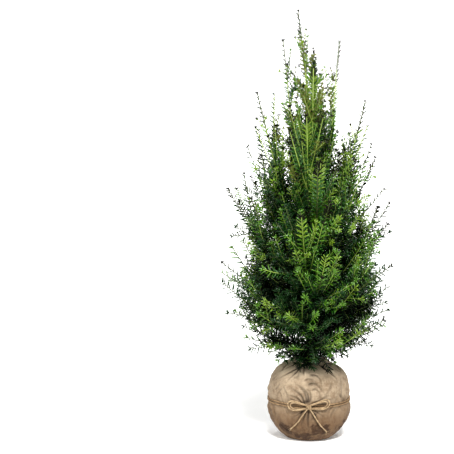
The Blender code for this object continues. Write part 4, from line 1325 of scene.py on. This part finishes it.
def growLongShoots(limb, grown, index, plan=longPlan):  # straight shoots that climb beside the limb's own
    tier = limb["tier"]
    top = tier in ("crown", "tip")
    count, lengths, angles, gap = plan.get(tier, plan["side"])
    climb = plan["climb" if tier in tierNames[:5] else "topClimb"]
    middles = [np.array(tuple(along(limb["line"], share)[0])) for share in (0.6, 0.8, 1.0)]
    placed = 0
    for _ in range(plan["tried"]):
        place, tangent = along(grown["stem"], draw.uniform(0.0, 1.0 if tier == "tip" else plan["footTo"]))
        way = sideHeading(tangent, draw.uniform(0, 360), draw.uniform(*angles))
        way = (way + up * draw.uniform(0.0, climb)).normalized()
        length = draw.uniform(*lengths)
        line = bowed(np.array(place), np.array(way), length, rising(np.array(way), plan["rise"]), 14)
        clear = min(np.linalg.norm(line[-1] - other) for other in middles) > gap
        if top:
            inside = np.hypot(line[:, 0] - leanAt(line[:, 2]), line[:, 1]) < crownReach(line[:, 2])
        else:
            inside = insideSpace(line[6:], index, space)
        if not clear or not inside.all() or not insideBox(line, plan["boxMargin"]).all():
            continue
        middles += [line[-1], line[9]]
        normal = facing(way, place, eitherSide(*plan["roll"]))
        high = highShare(line[-1][2]) > plan["highFrom"]
        if top:
            tone = draw.choice((freshTone, leafTone, leafTone, deepTone))
        else:
            tone = max(toneFor(line[-1], plan["lighter"]), leafTone if high else freshTone)
        thin = plan["thinFrom"] if high and not top and draw.random() < plan["thinShare"] else None
        layShoot(line, normal, tone, upright=True, stem=1.0 if top else 1.25,
                 budTone=tipTone if high else None, thinFrom=thin)
        placed += 1
        if placed == count:
            return


finePlan = {
    # how many on a limb, lengths, degrees, gap, and where they end in shares of the full crown
    "outer": {"counts": {"skirt": 54, "low": 58, "broad": 56, "middle": 54, "upper": 52, "high": 44,
                         "crown": 20, "tip": 3},
              "length": (0.085, 0.155), "angle": (8, 32), "gap": 0.0245, "reach": (0.70, 1.0), "roll": 30},
    "inner": {"counts": {"skirt": 30, "low": 48, "broad": 52, "middle": 50, "upper": 42, "high": 28,
                         "crown": 10, "tip": 0},
              "length": (0.050, 0.085), "angle": (18, 55), "gap": 0.019, "reach": (0.0, 0.84), "roll": 60},
    "sites": 30,  # tried for each shoot
    "leaderClear": 0.016, "clearFrom": 0.55,  # no fine shoot covers a leader nearer than this
    "leaderBehind": 0.006, "testedAt": (0.6, 0.9, 1.12),  # in shares of the length
    "shorter": 0.40, "shorterFrom": 0.4, "shorterOver": 0.4, "closer": 0.35,  # higher up
    "climb": (0.12, 0.28), "rise": 0.12, "boxMargin": 0.002, "lighter": 0.08,
    "size": 0.98, "stem": 0.85, "uprightFrom": 0.5,
    "topFrom": 0.66, "budFrom": 0.55, "budShare": 0.4, "innerTopFrom": 0.6,
}


def coversLeader(points, line):  # whether a point hides the limb's own shoot from outside
    leader = asRows(line)
    x, y = (np.interp(points[..., 2], leader[:, 2], leader[:, axis]) for axis in range(2))
    reach = np.maximum(np.hypot(x, y), 0.001)
    offX, offY = points[..., 0] - x, points[..., 1] - y
    beyond = (offX * x + offY * y) / reach
    aside = np.abs(offX * y - offY * x) / reach
    level = (points[..., 2] > leader[:, 2].min()) & (points[..., 2] < leader[:, 2].max())
    return level & (beyond > -finePlan["leaderBehind"]) & (aside < finePlan["leaderClear"])


def fineSites(limb, grown, tried):  # feet on the stem, the bare limb, the sprays and the twigs
    sites = [along(grown["stem"], share) for share in draw.uniform(0.0, 0.98, tried // 3)]
    sites += [along(limb["line"], limb["bare"] * share) for share in draw.uniform(0.35, 1.0, tried // 6)]
    lines = [(spray["root"], spray["root"] + spray["way"] * spray["length"] * 0.6)
             for spray in grown["sprays"]]
    lines += grown["twigs"] * 2
    for _ in range(tried // 2):
        start, end = lines[draw.integers(len(lines))]
        sites.append((start.lerp(end, draw.uniform(0.05, 0.95)), (end - start).normalized()))
    return [asRows(part) for part in zip(*sites)]


def growFineShoots(limb, grown, index, kind):
    shared, plan = finePlan, finePlan[kind]
    wanted = plan["counts"][limb["tier"]]
    if not wanted:
        return 0
    feet, tangents = fineSites(limb, grown, wanted * shared["sites"])
    high = highShare(feet[:, 2])
    around = unit(np.cross(tangents, draw.normal(0, 1, tangents.shape)))
    angle = np.radians(draw.uniform(*plan["angle"], len(feet)))
    climb = np.stack([0 * high, 0 * high, between(shared["climb"], high)], 1)
    ways = unit(tangents * np.cos(angle)[:, None] + around * np.sin(angle)[:, None] + climb)
    shorter = shared["shorter"] * np.clip((high - shared["shorterFrom"]) / shared["shorterOver"], 0, 1)
    lengths = draw.uniform(*plan["length"], len(feet)) * (1 - shorter)
    tests = np.stack([feet + ways * (lengths * share)[:, None] for share in shared["testedAt"]], 1)
    fits = insideSpace(tests.reshape(-1, 3), index, space).reshape(len(feet), -1).all(1)
    fits &= insideBox(tests, shared["boxMargin"]).all(1)
    ends = tests[:, 2]
    outward = np.hypot(ends[:, 0] - leanAt(ends[:, 2]), ends[:, 1]) / denseReach(ends[:, 2])
    fits &= (outward > plan["reach"][0]) & (outward < plan["reach"][1])
    if limb["line"][-1].z > shared["clearFrom"]:
        fits &= ~coversLeader(tests, limb["line"]).any(1)
    middles = grown.setdefault("taken", [np.array(middle) for middle in grown["middles"]])
    placed = 0
    for pick in draw.permutation(np.nonzero(fits)[0]):
        way, length = ways[pick], lengths[pick]
        middle = feet[pick] + way * length * 0.6
        gap = plan["gap"] * (1 - shared["closer"] * high[pick])
        if min(np.linalg.norm(middle - other) for other in middles) < gap:
            continue
        middles.append(middle)
        line = bowed(feet[pick], way, length, rising(way, shared["rise"]))
        normal = rolled(way, feet[pick], plan["roll"])
        if kind == "outer":
            tone = toneFor(middle, shared["lighter"])
            if high[pick] > shared["topFrom"]:
                tone = draw.choice((tone, leafTone, oliveTone))
            darkBud = high[pick] > shared["budFrom"] and draw.random() < shared["budShare"]
        else:
            # the inner shoots wear the deep and shade tones: painted shade inside the crown
            tone = int(draw.integers(deepTone, tipTone)) - (high[pick] > shared["innerTopFrom"])
            darkBud = False
        layShoot(line, normal, tone, size=shared["size"], stem=shared["stem"],
                 upright=high[pick] > shared["uprightFrom"], budTone=tipTone if darkBud else None)
        placed += 1
        if placed >= wanted:
            break
    return placed


innerPlan = {
    "count": 210, "foot": 0.245, "height": 0.56, "climb": (25, 62), "length": (0.055, 0.10), "shorter": 0.3,
    "rise": 0.15, "roll": 50, "bare": 0.12,
}


# these wear the deep and shade tones: painted shade in the crown's middle
def growInnerShoots(plan=innerPlan):  # short dark shoots on the trunk, which close the crown's middle
    count = plan["count"]
    for number in range(count):
        height = plan["foot"] + plan["height"] * (number + 0.5) / count
        turn = number * goldenTurn + draw.uniform(-0.3, 0.3)
        way = np.array(aimed(turn, math.radians(draw.uniform(*plan["climb"]))))
        foot = np.array(trunkPoint(height))
        length = draw.uniform(*plan["length"]) * (1 - plan["shorter"] * number / count)
        normal = rolled(way, foot + way * 0.05, plan["roll"])
        line = bowed(foot, way, length, rising(way, plan["rise"]))
        layShoot(line, normal, int(draw.integers(deepTone, tipTone)), bare=plan["bare"])


topPlan = {
    "heights": (0.70, 0.956), "count": 17, "angle": (38, 50), "length": (0.098, 0.056), "roll": 35,
    "goldenDegrees": 137.5, "rise": 0.10, "darkBuds": 0.5,
}


def growTopShoots(plan=topPlan):  # the trunk's own needles above, and combs at half a right angle to it
    foot, top = plan["heights"]
    axis = [trunkPoint(foot + (top - foot) * step / 20) for step in range(21)]
    layShoot(axis, Vector((0, -1, 0)), freshTone, size=1.05, bare=0, upright=True, stem=0)
    for number in range(plan["count"]):
        share = number / (plan["count"] - 1)
        place, tangent = along(axis, share)
        turn = number * plan["goldenDegrees"] + draw.uniform(-15, 15)
        way = np.array(sideHeading(tangent, turn, draw.uniform(*plan["angle"])))
        length = between(plan["length"], share) * draw.uniform(0.85, 1.1)
        normal = rolled(way, place + Vector(way) * 0.05, plan["roll"])
        line = bowed(np.array(place), way, length, rising(way, plan["rise"]), 10)
        layShoot(line, normal, int(draw.integers(freshTone, shadeTone)), upright=True,
                 budTone=tipTone if draw.random() < plan["darkBuds"] else None)


fringePlan = {
    "count": 56, "spread": 1.6, "feet": (0.226, 0.244), "climb": (-4, 12), "backClimb": 26,
    "length": (0.072, 0.104), "roll": 25, "hang": (-0.36, -0.16), "lessHang": 0.9, "bare": 0.25, "size": 0.9,
}


def growFringe(plan=fringePlan):  # low shoots over the burlap's neck, most of them in front
    count = plan["count"]
    for number in range(count):
        turn = -math.pi / 2 + (1 if number % 2 else -1) * math.pi * (number / count) ** plan["spread"]
        turn += draw.uniform(-0.12, 0.12)
        foot = np.array(trunkPoint(draw.uniform(*plan["feet"])))
        behind = number / count if number % 4 > 1 else 0  # half of them climb towards the back
        climb = math.radians(draw.uniform(*plan["climb"]) + plan["backClimb"] * behind)
        way = np.array(aimed(turn, climb))
        length = draw.uniform(*plan["length"])
        normal = rolled(way, foot + way * 0.05, plan["roll"])
        hang = draw.uniform(*plan["hang"]) * (1 - plan["lessHang"] * behind)
        tone = int(draw.choice((leafTone, deepTone, deepTone, shadeTone, shadeTone)))
        line = bowed(foot, way, length, rising(way, hang))
        layShoot(line, normal, tone, bare=plan["bare"], size=plan["size"])


fineTotals = {"outer": 0, "inner": 0}
for index, (limb, grown) in enumerate(zip(limbs, grownLimbs)):
    growLeader(limb, grown)
    growLongShoots(limb, grown, index)
    for spray in grown["sprays"][1:]:
        growSpray(spray)
    for kind in fineTotals:
        fineTotals[kind] += growFineShoots(limb, grown, index, kind)
growInnerShoots()
growTopShoots()
growFringe()
print("fine shoots:", fineTotals)


# needles: one along +Z, its ridge towards +Y, with a narrow foot, even sides and a sharp tip
needleForm = {"foot": 0.16, "body": 0.56, "tip": 0.28, "narrowing": (0.92, 0.9, 1.0)}
# no needle comes nearer than this to the ball or its neck, or farther than this out of the solids' box
needleClear = {"aboveBall": 0.003, "ball": 0.004, "neck": (0.057, 0.2155), "box": 0.010}


def needleShape(form=needleForm):
    deselectAll()
    bpy.ops.mesh.primitive_circle_add(vertices=3, radius=0.5, fill_type="NGON", location=(0, 0, form["foot"]))
    made = bpy.context.object
    bpy.ops.object.mode_set(mode="EDIT")
    bpy.ops.mesh.extrude_region_move(TRANSFORM_OT_translate={"value": (0, 0, form["body"])})
    bpy.ops.transform.resize(value=form["narrowing"])
    bpy.ops.mesh.extrude_region_move(TRANSFORM_OT_translate={"value": (0, 0, form["tip"])})
    bpy.ops.mesh.merge(type="CENTER")
    bpy.ops.mesh.select_all(action="DESELECT")
    bpy.ops.object.mode_set(mode="OBJECT")
    for face in made.data.polygons:
        face.select = (made.matrix_world @ face.center).z < form["foot"] + 0.001
    bpy.ops.object.mode_set(mode="EDIT")
    bpy.ops.mesh.select_mode(type="FACE")
    bpy.ops.mesh.extrude_region_move(TRANSFORM_OT_translate={"value": (0, 0, -form["foot"])})
    bpy.ops.mesh.merge(type="CENTER")
    bpy.ops.mesh.select_all(action="SELECT")
    bpy.ops.mesh.normals_make_consistent(inside=False)
    bpy.ops.mesh.quads_convert_to_tris()
    bpy.ops.object.mode_set(mode="OBJECT")
    bpy.ops.object.transform_apply(location=True, rotation=True, scale=True)
    corners = asRows(corner.co for corner in made.data.vertices)
    corners[:, 0] /= 0.866  # one wide
    faces = asRows(face.vertices for face in made.data.polygons)
    bpy.data.objects.remove(made)
    return corners, faces


def clearOfRest(base, way, length, clear=needleClear):
    tips = base + way * length[:, None]
    keep = insideBox(tips, clear["box"])
    for points in (tips, base + way * (length * 0.6)[:, None]):
        reach = np.hypot(points[:, 0], points[:, 1])
        surface = ballRadius(np.clip(points[:, 2], 0, ballShape["shoulder"]))
        low = points[:, 2] < ballShape["shoulder"] + clear["aboveBall"]
        inBall = low & (reach < surface + clear["ball"])
        inNeck = (reach < clear["neck"][0]) & (points[:, 2] < clear["neck"][1])
        keep &= ~(inBall | inNeck)
    return keep


shapeCorners, shapeFaces = needleShape()
rows = {key: np.concatenate(values) for key, values in needles.items()}
keep = clearOfRest(rows["base"], rows["way"], rows["length"])
rows = {key: values[keep] for key, values in rows.items()}
print("needles:", len(rows["length"]), "of", len(keep), "faces each:", len(shapeFaces))

masses = [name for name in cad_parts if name.startswith("mass_")]
youngMasses = [name for name in masses if name.startswith(("mass_high", "mass_crown", "mass_tip"))]
oldMasses = [name for name in masses if name not in youngMasses]
pieceLimit = 16000  # needles in one piece
for tone, name in enumerate(needleTones, 1):
    picked = np.nonzero(rows["tone"] == tone)[0]
    for number, part in enumerate(np.array_split(picked, math.ceil(len(picked) / pieceLimit)), 1):
        way, face = rows["way"][part], rows["face"][part]
        side = np.cross(way, face)
        length, width = rows["length"][part], rows["width"][part]
        x, y, z = (shapeCorners[:, axis] for axis in range(3))
        bend = (rows["bend"][part] * length)[:, None] * z[None] ** 2
        places = rows["base"][part][:, None] + way[:, None] * (z[None] * length[:, None])[..., None]
        places = places + side[:, None] * (x[None] * width[:, None])[..., None]
        places = places + face[:, None] * (y[None] * combShape["thickness"] - bend)[..., None]
        faces = shapeFaces[None] + (np.arange(len(part)) * len(shapeCorners))[:, None, None]
        made = meshObject(f"needles_{name}_{number}", places.reshape(-1, 3), [faces.reshape(-1, 3)],
                          needleFinishes[tone - 1])
        if tone in (leafTone, deepTone, shadeTone):
            finishPiece(made, "foliage", *oldMasses)
        else:
            finishPiece(made, "young_foliage", *youngMasses)
        print(made.name, len(made.data.polygons))
for tone, name in enumerate(twigTones):
    made = meshObject(f"twigs_{name}", *joined(twigTubes[tone]), twigFinishes[tone], 70)
    finishPiece(made, "young_foliage" if tone == greenTwig else "foliage")
    print(made.name, sum(len(face.vertices) - 2 for face in made.data.polygons))


# bark
barkShape = {
    "ripples": 26, "turns": (1, 9), "rate": 420,
    "boughSides": 14, "boughRings": 60, "boughRelief": 0.00028, "swelling": 0.35, "swellingShare": 0.12,
}


def barkTube(points, radii, sides, relief, seed, shape=barkShape):
    frames = lineFrames(points)
    rng = np.random.default_rng(seed)
    turn = 2 * math.pi * np.arange(sides) / sides
    distance = pathLengths(points)
    total = np.zeros((len(points), sides))
    for _ in range(shape["ripples"]):
        turns, rate = rng.integers(*shape["turns"]), rng.uniform(-shape["rate"], shape["rate"])
        total += np.cos(turns * turn[None] + rate * distance[:, None] + rng.uniform(0, 6.3))
    total = total / math.sqrt(shape["ripples"])
    plates = np.sign(total) * np.abs(total) ** 0.6
    return tube(points, np.asarray(radii)[:, None] + relief * plates, sides, frames)


def makeTrunk(shape):
    share = np.linspace(0, 1, shape["rings"])
    heights = shape["foot"] + (shape["top"] - shape["foot"]) * share**1.3
    points = asRows(trunkPoint(height) for height in heights)
    radii = np.array([trunkRadius(height) for height in heights])
    fade = np.minimum(1, radii / shape["radius"])
    corners, faces = barkTube(points, radii, shape["sides"], shape["relief"] * fade[:, None], 31)
    return meshObject("trunk_bark", *joined([(corners, faces)]), barkFinish, 80)


def makeBoughs(shape=barkShape):
    parts = []
    for index, limb in enumerate(limbs):
        if not limb["bare"]:
            continue
        share = np.linspace(0, 1, shape["boughRings"])
        line = asRows(along(limb["line"], limb["bare"] * part)[0] for part in share[::6])
        line = smoothLine(line, len(share))
        radii = limbPlan["boughRadius"] + (limbPlan["boughTipRadius"] - limbPlan["boughRadius"]) * share
        radii = radii * (1 + shape["swelling"] * np.exp(-((share / shape["swellingShare"]) ** 2)))
        parts.append(barkTube(line, radii, shape["boughSides"], shape["boughRelief"], 200 + index))
    return meshObject("bough_bark", *joined(parts), barkFinish, 80)


finishPiece(makeTrunk(trunkShape), "bark", "trunk")
finishPiece(makeBoughs(), "bark", *[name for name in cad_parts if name.startswith("bough_")])
print("bark made")

# studio
studio = {
    "floorRadius": 7.0, "wall": 1.9, "bend": 0.9, "colour": (0.90, 0.90, 0.89, 1), "glow": 0.16,
    "sky": 0.18,
    # direction, strength and size in degrees
    "suns": (((0.16, -0.85, 1.10), 4.5, 15), ((-0.65, -0.90, 0.85), 1.0, 36),
             ((0.40, 0.85, 1.40), 1.0, 40)),
}


def addStudio(setup):  # the round floor bends up into a low wall, a plain background on every side
    deselectAll()
    bpy.ops.mesh.primitive_circle_add(vertices=96, radius=setup["floorRadius"], fill_type="NGON",
                                      location=(0, 0, -0.0005))
    floor = bpy.context.object
    floor.name = "studioFloor"
    bpy.ops.object.mode_set(mode="EDIT")
    bpy.ops.mesh.select_all(action="SELECT")
    bpy.ops.mesh.extrude_region_move()
    steps = 8
    radius, height = setup["floorRadius"], 0.0
    for step in range(1, steps + 1):
        turn = math.pi / 2 * step / steps
        nextRadius = setup["floorRadius"] + setup["bend"] * math.sin(turn)
        nextHeight = setup["bend"] * (1 - math.cos(turn))
        bpy.ops.transform.resize(value=(nextRadius / radius, nextRadius / radius, 1))
        bpy.ops.transform.translate(value=(0, 0, nextHeight - height))
        radius, height = nextRadius, nextHeight
        if step < steps:
            bpy.ops.mesh.extrude_region_move()
    bpy.ops.mesh.extrude_region_move(TRANSFORM_OT_translate={"value": (0, 0, setup["wall"] - height)})
    bpy.ops.mesh.delete(type="ONLY_FACE")
    bpy.ops.object.mode_set(mode="OBJECT")
    bpy.ops.object.shade_smooth()
    pale = {"Base Color": setup["colour"], "Emission Color": setup["colour"],
            "Emission Strength": setup["glow"]}
    floor.data.materials.append(newMaterial("paleFloor", 0.9, pale))
    world = bpy.data.worlds.new("softStudio")
    world.use_nodes = True
    background = world.node_tree.nodes["Background"]
    background.inputs["Color"].default_value = (1, 1, 1, 1)
    background.inputs["Strength"].default_value = setup["sky"]
    bpy.context.scene.world = world
    for place, strength, size in setup["suns"]:
        turned = (-Vector(place)).to_track_quat("-Z", "Y").to_euler()
        bpy.ops.object.light_add(type="SUN", location=place, rotation=turned)
        bpy.context.object.data.energy = strength
        bpy.context.object.data.angle = math.radians(size)
    bpy.context.scene.view_settings.view_transform = "Standard"
    bpy.context.scene.view_settings.look = "Medium High Contrast"


addStudio(studio)
print("studio lit")
